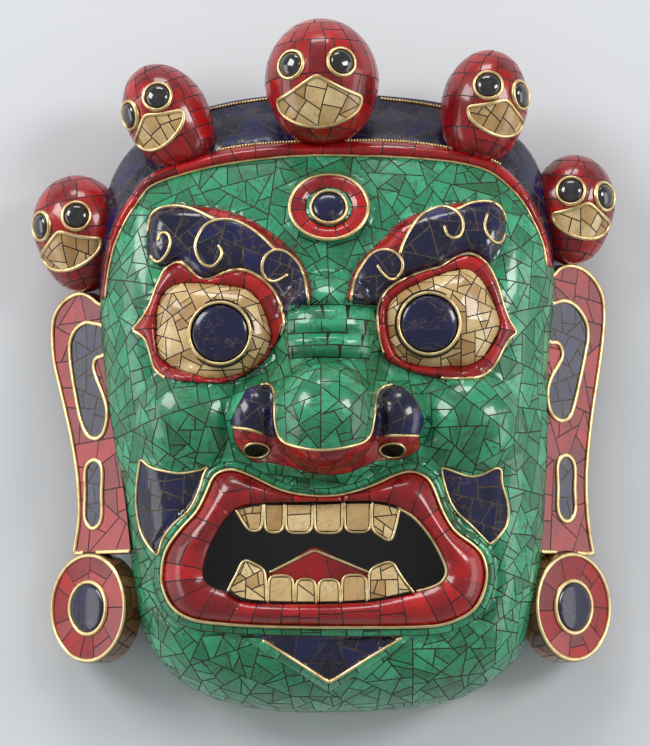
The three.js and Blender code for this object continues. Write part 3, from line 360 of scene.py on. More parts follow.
class Look:
    """A material being wired up: each method adds nodes and gives back what comes out of them."""

    def __init__(self, name):
        self.material = bpy.data.materials.new(name)
        self.material.use_nodes = True
        self.nodes, self.links = self.material.node_tree.nodes, self.material.node_tree.links

    def put(self, node, values):
        for key, value in values.items():
            socket = node.inputs[key]
            if isinstance(value, bpy.types.NodeSocket):
                self.links.new(value, socket)
            else:
                socket.default_value = (*value, 1) if socket.type == "RGBA" else value

    def node(self, kind, output, values, **settings):
        node = self.nodes.new("ShaderNode" + kind)
        for key, value in settings.items():
            setattr(node, key, value)
        self.put(node, values)
        return node.outputs[output]

    def place(self):
        return self.node("TexCoord", "Object", {})

    def noise(self, scale, detail=3.0, roughness=0.5, distortion=0.0, vector=None):
        return self.node("TexNoise", "Fac", {"Scale": scale, "Detail": detail, "Roughness": roughness,
                                             "Distortion": distortion,
                                             "Vector": self.place() if vector is None else vector})

    def ramp(self, value, *stops):
        node = self.nodes.new("ShaderNodeValToRGB")
        elements = node.color_ramp.elements
        while len(elements) < len(stops):
            elements.new(0.5)
        for element, (place, colour) in zip(elements, stops):
            element.position = place
            element.color = (*colour, 1)
        self.put(node, {"Fac": value})
        return node.outputs["Color"]

    def mix(self, factor, a, b):
        return self.node("Mix", 2, {0: factor, 6: a, 7: b}, data_type="RGBA")

    def math(self, operation, a, b=0.0, clamp=False):
        return self.node("Math", 0, {0: a, 1: b}, operation=operation, use_clamp=clamp)

    def finish(self, grain=None, strength=0.0, distance=0.0, **values):
        """Sets the sockets of the shader, named with _ for a space, with a fine bump over them."""
        values = {key.replace("_", " "): value for key, value in values.items()}
        if grain is not None:
            values["Normal"] = self.node("Bump", "Normal", {"Strength": strength, "Distance": distance,
                                                            "Height": grain})
        self.put(self.nodes["Principled BSDF"], values)
        return self.material


def stone(name, tints, stain, stain_amount, vein=None, flecks=None, roughness=0.28):
    """Polished stone chips: a tint for each chip, clouds inside it, stains and lacquer over all."""
    look = Look(name)
    chip = look.node("Attribute", "Vector", {}, attribute_name="chip")
    tint, gloss = (look.node("SeparateXYZ", k, {0: chip}) for k in (0, 1))
    mixed = look.math("ADD", look.math("MULTIPLY", tint, 0.62),
                      look.math("MULTIPLY", look.noise(110.0, 5.0, 0.6, 0.4), 0.5))
    colour = look.ramp(look.math("SUBTRACT", mixed, 0.06, True), *tints)
    dirt = look.ramp(look.noise(26.0, 4.0, 0.65), (0.48, BLACK), (0.72, WHITE))
    colour = look.mix(look.math("MULTIPLY", dirt, stain_amount), colour, stain)
    if vein:
        tone, scale, width, strength = vein
        ridge = look.math("ABSOLUTE", look.math("SUBTRACT", look.noise(scale, 6.0, 0.6, 1.6), 0.5))
        line = look.ramp(ridge, (0.0, WHITE), (width, BLACK))
        colour = look.mix(look.math("MULTIPLY", line, strength), colour, tone)
    if flecks:
        tone, scale, level = flecks
        spots = look.ramp(look.noise(scale, 3.0, 0.7), (level, BLACK), (level + 0.05, WHITE))
        colour = look.mix(spots, colour, tone)
    rough = look.math("ADD", look.math("MULTIPLY", gloss, 0.12), roughness - 0.06)
    return look.finish(look.noise(420.0, 4.0, 0.6), 0.22, 0.00012, Base_Color=colour, Roughness=rough,
                       Specular_IOR_Level=0.3, Coat_Weight=0.6, Coat_Roughness=0.09)


def resin(name, colour):
    """Dark filler between the chips, lacquered with them."""
    look = Look(name)
    shade = look.ramp(look.noise(180.0, 4.0), (0.3, tuple(c * 0.45 for c in colour)), (0.75, colour))
    return look.finish(look.noise(600.0, 3.0), 0.3, 0.0001, Base_Color=shade, Roughness=0.5,
                       Specular_IOR_Level=0.3, Coat_Weight=0.2, Coat_Roughness=0.2)


def brass_material():
    look = Look("brass_wire")
    colour = look.ramp(look.noise(160.0, 4.0, 0.6), (0.25, (0.42, 0.28, 0.11)), (0.45, (0.72, 0.54, 0.26)),
                       (0.75, (0.90, 0.74, 0.43)))
    rough = look.ramp(look.noise(520.0, 3.0), (0.3, (0.3,) * 3), (0.7, (0.45,) * 3))
    return look.finish(look.noise(700.0, 2.0), 0.1, 0.00005, Base_Color=colour, Metallic=1.0, Roughness=rough)


def onyx_material():
    look = Look("onyx")
    colour = look.ramp(look.noise(300.0, 4.0), (0.4, (0.004, 0.004, 0.005)), (0.8, (0.03, 0.026, 0.03)))
    return look.finish(look.noise(500.0, 2.0), 0.1, 0.00006, Base_Color=colour, Roughness=0.12,
                       Coat_Weight=1.0, Coat_Roughness=0.04)


def wood_material():
    """Dark stained wood with its grain along the mask, for the hollow and the rim."""
    look = Look("stained_wood")
    drawn_out = look.node("Mapping", "Vector", {"Scale": (1.0, 0.12, 1.0), "Vector": look.place()})
    grain = look.noise(320.0, 6.0, 0.6, 0.8, drawn_out)
    colour = look.ramp(grain, (0.3, (0.012, 0.007, 0.005)), (0.55, (0.05, 0.027, 0.015)),
                       (0.8, (0.11, 0.062, 0.034)))
    return look.finish(grain, 0.5, 0.0004, Base_Color=colour, Roughness=0.55)


TURQUOISE = stone("turquoise", ((0.0, (0.010, 0.105, 0.045)), (0.3, (0.018, 0.20, 0.088)),
                                (0.62, (0.028, 0.29, 0.135)), (1.0, (0.075, 0.42, 0.225))),
                  (0.035, 0.070, 0.025), 0.7, vein=((0.030, 0.026, 0.012), 60.0, 0.024, 0.65))
CORAL = stone("coral", ((0.0, (0.10, 0.003, 0.005)), (0.35, (0.24, 0.004, 0.006)), (0.7, (0.38, 0.006, 0.007)),
                        (1.0, (0.52, 0.012, 0.009))), (0.055, 0.004, 0.005), 0.6,
              vein=((0.03, 0.003, 0.003), 45.0, 0.014, 0.55))
LAPIS = stone("lapis", ((0.0, (0.003, 0.004, 0.014)), (0.5, (0.006, 0.006, 0.036)), (1.0, (0.012, 0.011, 0.092))),
              (0.010, 0.009, 0.010), 0.5, vein=((0.17, 0.11, 0.045), 26.0, 0.007, 0.5),
              flecks=((0.30, 0.20, 0.08), 420.0, 0.7), roughness=0.22)
BONE = stone("bone", ((0.0, (0.22, 0.10, 0.03)), (0.25, (0.40, 0.235, 0.088)), (0.6, (0.60, 0.42, 0.19)),
                      (1.0, (0.80, 0.63, 0.35))), (0.22, 0.095, 0.028), 0.6,
             vein=((0.28, 0.14, 0.05), 55.0, 0.02, 0.5), roughness=0.3)
AMBER = stone("amber_chips", ((0.0, (0.07, 0.024, 0.009)), (0.5, (0.20, 0.075, 0.022)), (1.0, (0.36, 0.16, 0.05))),
              (0.05, 0.02, 0.01), 0.6)
# Dark resin fills the joints between chips; the same material laid in the nostrils is painted shade there
DARK_RESIN_AND_NOSTRIL_SHADE = resin("dark_resin_and_nostril_shade", (0.020, 0.012, 0.006))
RED_RESIN = resin("red_resin", (0.030, 0.005, 0.005))
CORAL_RESIN = resin("coral_resin", (0.15, 0.009, 0.009))
GOLD_RESIN = resin("gold_resin", (0.085, 0.057, 0.026))
BRASS = brass_material()
ONYX = onyx_material()
WOOD = wood_material()
# What fields of chips are made of: the stone, the filler between and the slot
GREEN = (TURQUOISE, DARK_RESIN_AND_NOSTRIL_SHADE, "turquoise")
RED = (CORAL, RED_RESIN, "coral")
BLUE = (LAPIS, GOLD_RESIN, "lapis")
IVORY = (BONE, DARK_RESIN_AND_NOSTRIL_SHADE, "bone")


# Meshes

def make_object(name, points, faces, materials, face_materials=None, chips=None, smooth=True):
    mesh = bpy.data.meshes.new(name)
    mesh.from_pydata(to_frame(points).tolist(), [], faces)
    for material in materials:
        mesh.materials.append(material)
    if face_materials is not None:
        mesh.polygons.foreach_set("material_index", np.asarray(face_materials, dtype=np.int32))
    attribute = mesh.attributes.new("chip", "FLOAT_VECTOR", "FACE")
    if chips is None:
        chips = np.tile((0.5, 0.5, 0.5), (len(mesh.polygons), 1))
    attribute.data.foreach_set("vector", np.asarray(chips, dtype=np.float32).ravel())
    mesh.polygons.foreach_set("use_smooth", np.full(len(mesh.polygons), smooth))
    mesh.update()
    if face_materials is not None:
        sharpen_borders(mesh, np.asarray(face_materials))
    piece = bpy.data.objects.new(name, mesh)
    bpy.context.scene.collection.objects.link(piece)
    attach(piece, "root")
    return piece


def sharpen_borders(mesh, kinds):
    """Marks the edges between chip and filler as sharp, so each chip shades as a flat of its own."""
    loops = len(mesh.loops)
    edge_of = np.empty(loops, np.int32)
    mesh.loops.foreach_get("edge_index", edge_of)
    sizes = np.empty(len(mesh.polygons), np.int32)
    mesh.polygons.foreach_get("loop_total", sizes)
    kind_of = np.repeat(kinds, sizes)
    low = np.full(len(mesh.edges), 99)
    high = np.full(len(mesh.edges), -1)
    np.minimum.at(low, edge_of, kind_of)
    np.maximum.at(high, edge_of, kind_of)
    sharp = mesh.attributes.new("sharp_edge", "BOOLEAN", "EDGE")
    sharp.data.foreach_set("value", low != high)


# Chips: a field is split again and again into convex shards, as a mosaic worker fits broken pieces

def clip(polygon, point, normal):
    """Part of a convex polygon on the side of a line that the normal points to."""
    side = (polygon - point) @ normal
    kept = []
    for i in range(len(polygon)):
        j = (i + 1) % len(polygon)
        if side[i] >= 0:
            kept.append(polygon[i])
        if (side[i] > 0 > side[j]) or (side[i] < 0 < side[j]):
            kept.append(polygon[i] + (polygon[j] - polygon[i]) * side[i] / (side[i] - side[j]))
    return np.array(kept)


def area_of(polygon):
    x, y = polygon[:, 0], polygon[:, 1]
    return 0.5 * abs(np.dot(x, np.roll(y, -1)) - np.dot(y, np.roll(x, -1)))


PROBE = 0.3                    # how far apart a surface is felt, drawing mm
CHIP_GAP = 0.3
GROUT_DEPTH = 0.22
SKIRT = 1.0
RAGGED = 0.28                  # how far the cuts lean, radians


def metric_at(surface, point):
    """Stretch of the surface at a point: a matrix that turns drawing steps into real ones."""
    placed = surface(np.array([point, point + (PROBE, 0), point + (0, PROBE)]))[0]
    du, dv = (placed[1] - placed[0]) / PROBE, (placed[2] - placed[0]) / PROBE
    values, vectors = np.linalg.eigh(np.array(((du @ du, du @ dv), (du @ dv, dv @ dv))))
    return vectors @ np.diag(np.sqrt(np.clip(values, 0.04, 60.0))) @ vectors.T


def shatter(polygon, size, rng, surface, keep):
    """Convex shards of about the given real size; keep(polygon) tells whether one lies on the field."""
    done = []
    waiting = [polygon]
    while waiting:
        shard = waiting.pop()
        if not keep(shard):
            continue
        centre = shard.mean(axis=0)
        stretch = metric_at(surface, centre)
        real = (shard - centre) @ stretch
        if area_of(real) < size ** 2 * rng.uniform(0.55, 1.75):
            done.append(shard)
            continue
        values, vectors = np.linalg.eigh(np.cov(real.T))
        long_way = vectors[:, 1]
        angle = rng.normal(0, RAGGED)
        turn = np.array(((math.cos(angle), -math.sin(angle)), (math.sin(angle), math.cos(angle))))
        through = long_way * rng.uniform(-0.3, 0.3) * math.sqrt(max(values[1], 0))
        point = centre + through @ np.linalg.inv(stretch)
        normal = stretch @ (turn @ long_way)
        normal /= np.linalg.norm(normal)
        halves = [clip(shard, point, normal * sign) for sign in (1, -1)]
        waiting.extend(half for half in halves if len(half) > 2)
    return done


def shrink(polygon, surface):
    """The shard with a real gap taken off every side, measured on the surface at that side."""
    polygon = counter_clockwise(polygon)
    ahead = np.roll(polygon, -1, axis=0) - polygon
    long = np.linalg.norm(ahead, axis=1) > 1e-6
    polygon, ahead = polygon[long], ahead[long]
    middles = polygon + ahead / 2
    probes = surface(np.vstack((middles, middles + (PROBE, 0), middles + (0, PROBE))))[0].reshape(3, -1, 3)
    du, dv = (probes[1] - probes[0]) / PROBE, (probes[2] - probes[0]) / PROBE
    result = polygon
    for point, way, a, b in zip(polygon, ahead, du, dv):
        inward = np.array((-way[1], way[0])) / np.linalg.norm(way)
        tensor = np.array(((a @ a, a @ b), (a @ b, b @ b))) + np.eye(2) * 1e-3
        reach = CHIP_GAP * math.sqrt(inward @ np.linalg.inv(tensor) @ inward)
        result = clip(result, point + inward * min(reach, CHIP_GAP * 3), inward)
        if len(result) < 3:
            return None
    return result


def divide(loop, step):
    """A closed loop with no side longer than the step."""
    points = []
    for a, b in zip(loop, np.roll(loop, -1, axis=0)):
        count = max(1, int(math.ceil(np.linalg.norm(b - a) / step)))
        points.extend(a + (b - a) * k / count for k in range(count))
    return points


def counter_clockwise(loop):
    loop = np.asarray(loop, float)
    x, y = loop[:, 0], loop[:, 1]
    return loop if np.dot(x, np.roll(y, -1)) > np.dot(y, np.roll(x, -1)) else loop[::-1]


def rectangle(low, high):
    return np.array(((low[0], low[1]), (high[0], low[1]), (high[0], high[1]), (low[0], high[1])))


def circle(centre, radius, squash=1.0, count=72):
    angles = 2 * math.pi * np.arange(count) / count
    return np.stack((centre[0] + radius * np.cos(angles), centre[1] + radius * squash * np.sin(angles)), axis=1)


def staggered(low, high, step):
    """Points over a rectangle in rows, every other row set over by half a step."""
    gx, gy = np.meshgrid(np.arange(low[0], high[0], step), np.arange(low[1], high[1], step * 0.87), indexing="ij")
    gx = gx + 0.5 * step * (np.arange(gx.shape[1]) % 2)[None, :]
    return np.stack((gx.ravel(), gy.ravel()), axis=1)


def quads(rows, sides, wrap=False):
    """Faces between rows of points that each run round a form."""
    return [(i * sides + k, i * sides + (k + 1) % sides, j * sides + (k + 1) % sides, j * sides + k)
            for i, j in ((i, (i + 1) % rows) for i in range(rows if wrap else rows - 1)) for k in range(sides)]


def triangles(points, edges, loops):
    """Places and triangles of a field cut along loops, each triangle with the loops that it lies in."""
    result = delaunay_2d_cdt([Vector(p) for p in points], edges, loops, 0, 1e-5, True)
    return np.array([tuple(v) for v in result[0]]), [(tuple(t), set(o)) for t, o in zip(result[2], result[5])]


def offset_loop(loop, distance):
    """A loop moved inward by a small distance."""
    loop = counter_clockwise(loop)
    ahead = np.roll(loop, -1, axis=0) - np.roll(loop, 1, axis=0)
    ahead /= np.maximum(np.linalg.norm(ahead, axis=1), 1e-9)[:, None]
    return loop + np.stack((-ahead[:, 1], ahead[:, 0]), axis=1) * distance


def mosaic(name, inside, outside, surface, stone_material, filler, slot, size=8.5, step=2.0, seed=1,
           shards=None, skirt=SKIRT, skirt_way=None, proud=0.0, border=0.15, buried=None):
    """A field of chips over a surface: inside all the first loops and outside all the second ones."""
    rng = np.random.default_rng(seed)
    inside = [counter_clockwise(loop) for loop in inside]
    outside = [counter_clockwise(loop) for loop in outside]
    low = np.max([loop.min(axis=0) for loop in inside], axis=0) - 0.5
    high = np.min([loop.max(axis=0) for loop in inside], axis=0) + 0.5

    def on_field(points):
        return np.all([depth_in(loop, points) > 0 for loop in inside]
                      + [depth_in(loop, points) < 0 for loop in outside], axis=0)

    # A map of the field, a millimetre a cell, answers quickly whether a shard touches it
    count = np.maximum(2, np.ceil(high - low).astype(int))
    gx, gy = np.meshgrid(*(low[k] + (np.arange(count[k]) + 0.5) for k in (0, 1)), indexing="ij")
    field_map = on_field(np.stack((gx.ravel(), gy.ravel()), axis=1)).reshape(gx.shape)

    def keep(shard):
        a = np.clip((shard.min(axis=0) - low).astype(int) - 1, 0, None)
        b = (shard.max(axis=0) - low).astype(int) + 2
        return field_map[a[0]:b[0], a[1]:b[1]].any()

    if shards is None:
        shards = shatter(rectangle(low, high), size, rng, surface, keep)
    points, loops, edges = [], [], []

    def add_loop(loop, offset=0.0):
        """Adds a closed loop and gives its number."""
        if offset:
            loop = counter_clockwise(offset_loop(loop, offset))
        first = len(points)
        points.extend(divide(loop, step))
        loops.append(list(range(first, len(points))))
        return len(loops) - 1

    region_ids = {add_loop(loop) for loop in inside}
    hole_ids = {add_loop(loop) for loop in outside}
    edge_in = {add_loop(loop, border) for loop in inside} if border else region_ids
    edge_out = {add_loop(loop, -border) for loop in outside} if border else hole_ids
    chip_of, chip_loops = {}, []
    for shard in shards:
        small = shrink(shard, surface)
        if small is None or area_of(small) < 0.3:
            small = shard.mean(axis=0) + (shard - shard.mean(axis=0)) * 0.85
        chip_loops.append(counter_clockwise(small))
        chip_of[add_loop(chip_loops[-1])] = len(chip_loops) - 1
        first = len(points)
        points.extend(divide(counter_clockwise(shard), step))
        edges.extend(zip(range(first, len(points)), [*range(first + 1, len(points)), first]))

    tree = KDTree(len(points))
    for index, point in enumerate(points):
        tree.insert((point[0], point[1], 0), index)
    tree.balance()
    fill = staggered(low, high, step)
    fill = fill[on_field(fill)]
    points.extend(p for p in fill if tree.find((p[0], p[1], 0))[2] > 0.4 * step)

    flat, found = triangles(points, edges, loops)
    kept, chip_index = [], []
    for triangle, origins in found:
        if not region_ids <= origins or origins & hole_ids:
            continue
        chip = -1
        if edge_in <= origins and not origins & edge_out:
            for origin in origins:
                chip = chip_of.get(origin, chip)
        kept.append(triangle)
        chip_index.append(chip)
    chip_index = np.array(chip_index)
    used, kept = np.unique(kept, return_inverse=True)
    kept = kept.reshape(-1, 3)
    flat = flat[used]
    place, normal = surface(flat)

    # Chips stand level with the surface, each a touch tilted; the filler between them lies lower
    lift = np.full(len(flat), -GROUT_DEPTH)
    slants = rng.normal(0, 0.05, (len(chip_loops), 2)) / max(size, 1)
    centres = np.array([loop.mean(axis=0) for loop in chip_loops]).reshape(-1, 2)
    heights = rng.normal(0, 0.03, len(chip_loops))
    on_chip = chip_index >= 0
    chips = chip_index[on_chip]
    for corner in range(3):
        vertices = kept[on_chip, corner]
        lift[vertices] = heights[chips] + ((flat[vertices] - centres[chips]) * slants[chips]).sum(axis=1)
    place = place + normal * (lift + proud)[:, None]

    # A skirt goes down into the wood all round the field
    directed = dict.fromkeys((t[k], t[(k + 1) % 3]) for t in kept.tolist() for k in range(3))
    rim = [(a, b) for a, b in directed if (b, a) not in directed]
    feet = list(dict.fromkeys(vertex for edge in rim for vertex in edge))
    below = {vertex: len(place) + k for k, vertex in enumerate(feet)}
    way = -normal[feet] if skirt_way is None else np.array(skirt_way, float)
    place = np.vstack((place, place[feet] + way * skirt))
    faces = [tuple(t) for t in kept.tolist()] + [(b, a, below[a], below[b]) for a, b in rim]
    fillers = np.where(on_chip, 0, 1)
    fillers = np.concatenate((fillers, np.ones(len(rim), int)))
    tints = rng.random((len(chip_loops) + 1, 3))[np.concatenate((chip_index, np.full(len(rim), -1)))]
    if buried is not None:
        deep = buried(place)
        shown = [k for k, face in enumerate(faces) if not deep[list(face)].all()]
        used = sorted({vertex for k in shown for vertex in faces[k]})
        order = {vertex: k for k, vertex in enumerate(used)}
        faces = [tuple(order[vertex] for vertex in faces[k]) for k in shown]
        place, fillers, tints = place[used], fillers[shown], tints[shown]
    return make_object(name, place, faces, (stone_material, filler), fillers, tints)


# Wires

def arc_points(path, closed, step=1.0):
    """Points at even steps along a path."""
    path = np.asarray(path, float)
    if closed:
        path = np.vstack((path, path[:1]))
    lengths = np.concatenate(([0], np.cumsum(np.linalg.norm(np.diff(path, axis=0), axis=1))))
    count = max(2, int(round(lengths[-1] / step)))
    goals = np.linspace(0, lengths[-1], count + 1)
    if closed:
        goals = goals[:-1]
    return np.stack([np.interp(goals, lengths, path[:, k]) for k in range(path.shape[1])], axis=1)


def wire_mesh(place, normal, closed, width=1.9, height=1.4, sides=8, sink=-0.2):
    """A drawn wire pressed into the surface, polished a little flat on top."""
    count = len(place)
    ahead = (np.roll(place, -1, axis=0) - np.roll(place, 1, axis=0))
    if not closed:
        ahead[0], ahead[-1] = place[1] - place[0], place[-1] - place[-2]
    ahead /= np.linalg.norm(ahead, axis=1)[:, None]
    across = np.cross(normal, ahead)
    across /= np.linalg.norm(across, axis=1)[:, None]
    up = np.cross(ahead, across)
    core = place - up * sink
    angles = 2 * math.pi * (np.arange(sides) + 0.5) / sides
    rings = [core + across * (width / 2 * math.cos(a)) + up * (height / 2 * math.sin(a)) for a in angles]
    points = np.stack(rings, axis=1).reshape(-1, 3)
    faces = quads(count, sides, closed)
    if not closed:
        for row, direction, flip in ((0, -1, True), (count - 1, 1, False)):
            tip = len(points)
            points = np.vstack((points, core[row] + ahead[row] * direction * width * 0.35))
            for k in range(sides):
                a, b = row * sides + k, row * sides + (k + 1) % sides
                faces.append((b, a, tip) if flip else (a, b, tip))
    return points, faces


def join_meshes(parts):
    points, faces, base = [], [], 0
    for part_points, part_faces in parts:
        points.append(part_points)
        faces.extend(tuple(i + base for i in face) for face in part_faces)
        base += len(part_points)
    return np.vstack(points), faces


def relax(values, closed, rounds):
    """Evens out small kinks along a path."""
    for _ in range(rounds):
        if closed:
            values = (values * 2 + np.roll(values, 1, axis=0) + np.roll(values, -1, axis=0)) / 4
        else:
            middle = (values[1:-1] * 2 + values[:-2] + values[2:]) / 4
            values = np.vstack((values[:1], middle, values[-1:]))
    return values


def wires(name, paths, surface, step=1.0, **shape):
    """Brass wires laid on a surface; each path is (points, closed)."""
    parts = []
    for path, closed in paths:
        flat = arc_points(path, closed, step)
        place, normal = surface(flat)
        place, normal = relax(place, closed, 4), relax(normal, closed, 8)
        normal /= np.linalg.norm(normal, axis=1)[:, None]
        parts.append(wire_mesh(place, normal, closed, **shape))
    points, faces = join_meshes(parts)
    return make_object(name, points, faces, (BRASS,))


BEAD_PITCH = 1.4
BEAD_RADIUS = 0.78


def bead_wire(name, paths, surface):
    """Beaded wire: round grains side by side."""
    built = bmesh.new()
    bmesh.ops.create_icosphere(built, subdivisions=2, radius=1.0)
    grain = np.array([v.co[:] for v in built.verts])
    grain_faces = [tuple(v.index for v in f.verts) for f in built.faces]
    built.free()
    parts = []
    for path in paths:
        flat = arc_points(path, False, BEAD_PITCH)
        place, normal = surface(flat)
        for point, up in zip(place, normal):
            parts.append((grain * BEAD_RADIUS + point + up * 0.35, grain_faces))
    points, faces = join_meshes(parts)
    return make_object(name, points, faces, (BRASS,))


# Stones with a smooth round top, and rings around them

def frame_at(normal):
    """Unit vectors across a place, with the normal last."""
    normal = np.asarray(normal, float) / np.linalg.norm(normal)
    across = np.array((1.0, 0.0, 0.0)) - normal * normal[0]
    across /= np.linalg.norm(across)
    return across, np.cross(normal, across), normal


def revolve(profile, point, axes, sides=64):
    """Points and faces of a turned form; a profile of (radius, height) from the axis outward."""
    across, along, normal = axes
    points = []
    for radius, height in profile:
        for k in range(sides):
            a = 2 * math.pi * k / sides
            points.append(point + across * radius * math.cos(a) + along * radius * math.sin(a) + normal * height)
    faces = quads(len(profile), sides)
    if profile[0] != profile[-1]:
        faces.append(tuple(range(sides))[::-1])
        faces.append(tuple(range((len(profile) - 1) * sides, len(profile) * sides)))
    return np.array(points), faces


def cabochon(radius, rise, base, steps=10):
    """Profile of a polished stone, from its foot to near its top."""
    profile = [(radius * 0.98, base)]
    for k in range(steps):
        a = math.pi / 2 * k / steps
        profile.append((radius * math.cos(a) ** 0.85, rise * math.sin(a)))
    profile.append((radius * 0.02, rise))
    return profile


def ring_profile(radius, height, width=WIRE, sink=0.2, sides=10):
    profile = [(radius + width / 2 * math.cos(a), -sink + height / 2 * math.sin(a))
               for a in 2 * math.pi * np.arange(sides) / sides]
    return profile + [profile[0]]


def numeric_surface(place, step=0.05):
    """Adds outward normals to a plain function that places points."""
    def surface(points):
        points = np.asarray(points, float)
        here = place(points)
        normal = np.cross(place(points + (step, 0)) - here, place(points + (0, step)) - here)
        normal /= np.maximum(np.linalg.norm(normal, axis=1), 1e-12)[:, None]
        return here, normal
    return surface


class Ring:
    """A closed path measured by its length, running counter-clockwise."""

    def __init__(self, path):
        path = counter_clockwise(path)
        self.path = np.vstack((path, path[:1]))
        self.at = np.concatenate(([0], np.cumsum(np.linalg.norm(np.diff(self.path, axis=0), axis=1))))
        self.total = self.at[-1]
        ahead = np.roll(path, -1, axis=0) - np.roll(path, 1, axis=0)
        ahead /= np.linalg.norm(ahead, axis=1)[:, None]
        inward = np.stack((-ahead[:, 1], ahead[:, 0]), axis=1)
        self.inward = np.vstack((inward, inward[:1]))

    def points(self, lengths):
        lengths = np.mod(lengths, self.total)
        return np.stack([np.interp(lengths, self.at, self.path[:, k]) for k in (0, 1)], axis=1)

    def insides(self, lengths):
        lengths = np.mod(lengths, self.total)
        vectors = np.stack([np.interp(lengths, self.at, self.inward[:, k]) for k in (0, 1)], axis=1)
        return vectors / np.linalg.norm(vectors, axis=1)[:, None]

    def nearest(self, point):
        return self.at[np.argmin(np.linalg.norm(self.path - point, axis=1))]


def blocks(outer, inner, length, rng, closed=True, spill=0.35, split=0.12):
    """Blocks across a band between two paths, with cuts leaning a little, as the red bands are laid."""
    outer_points = arc_points(outer, closed, 0.6)
    inner_points = arc_points(inner, closed, 0.6)
    cuts = []
    at = 0.0
    count = len(outer_points)
    total = count * 0.6
    while at < total - length * 0.45:
        cuts.append(at)
        at += length * rng.uniform(0.65, 1.4)
    lines = []
    for at in cuts if closed else [*cuts, total]:
        first = outer_points[min(int(at / 0.6), count - 1)]
        second = inner_points[np.argmin(np.linalg.norm(inner_points - first, axis=1))]
        reach = second - first
        lean = np.array((-reach[1], reach[0])) * rng.normal(0, 0.10)
        lines.append((first - reach * spill - lean, second + reach * spill + lean))
    found = []
    for i in range(len(lines) if closed else len(lines) - 1):
        (a, b), (c, d) = lines[i], lines[(i + 1) % len(lines)]
        if rng.random() < split:
            share = rng.uniform(0.4, 0.6)
            m, n = a + (b - a) * share, c + (d - c) * share
            found.extend((np.array((a, m, n, c)), np.array((m, b, d, n))))
        else:
            found.append(np.array((a, b, d, c)))
    return [hull(q) for q in found if area_of(hull(q)) > 0.5]


def hull(points):
    """Convex hull of a few points, counter-clockwise."""
    points = sorted(map(tuple, points))
    sides = []
    for run in (points, points[::-1]):
        side = []
        for point in run:
            while len(side) > 1 and ((side[-1][0] - side[-2][0]) * (point[1] - side[-2][1])
                                     <= (side[-1][1] - side[-2][1]) * (point[0] - side[-2][0])):
                side.pop()
            side.append(point)
        sides.extend(side[:-1])
    return np.array(sides)


# The rolled side of the shell, unrolled: along the outline, then up from the rim
SHELL_RING = Ring(np.roll(OUTLINE, -int(np.argmin(OUTLINE[:, 1])), axis=0)[::-1])
FACE_INSET = 1.2
WALL_ANGLE = math.acos(1 - FACE_INSET / ROLL)
WALL_TOP = SIDE_HEIGHT + 14.0
WALL_PROUD = -0.3


def wall_place(points):
    base, inward = SHELL_RING.points(points[:, 0]), SHELL_RING.insides(points[:, 0])
    up = points[:, 1]
    share = np.clip(up - SIDE_HEIGHT, 0, None) / (WALL_TOP - SIDE_HEIGHT)
    angle = share * WALL_ANGLE
    edge = base + inward * FACE_INSET
    rolled = SIDE_HEIGHT + (flat_height(edge[:, 0], edge[:, 1]) - SIDE_HEIGHT) * math.sin(WALL_ANGLE)
    swell = np.maximum(read_grid(HEIGHTS, edge) - rolled, 0)    # where a cheek swells out to the edge
    base = base + inward * (ROLL * (1 - np.cos(angle)))[:, None]
    rise = (flat_height(base[:, 0], base[:, 1]) - SIDE_HEIGHT) * np.sin(angle) + swell * share
    return np.column_stack((base, np.minimum(up, SIDE_HEIGHT) + rise))


def shell_sides():
    right = SHELL_RING.nearest((108.5, 46))
    left = SHELL_RING.nearest((-109, 31))
    surface = numeric_surface(wall_place)
    for name, start, end, kind, filler, slot, seed in (
            ("side_right_chips", 0.0, right, *GREEN, 61),
            ("crown_side_chips", right, left, *BLUE, 62),
            ("side_left_chips", left, SHELL_RING.total, *GREEN, 63)):
        mosaic(name, [rectangle((start, 0.35), (end, WALL_TOP))], [], surface, kind, filler, slot, size=11.0,
               seed=seed, step=2.5, proud=WALL_PROUD, border=0.05)


CORE_INSET = 1.0
CORE_DEPTH = 1.3
MOUTH_WALL = 13.0


def lowest_near(values, reach):
    """The lowest value within a few grid cells, so that a coarse sheet never cuts through a crease."""
    for axis in (0, 1):
        values = np.min([np.roll(values, shift, axis) for shift in range(-reach, reach + 1)], axis=0)
    return values


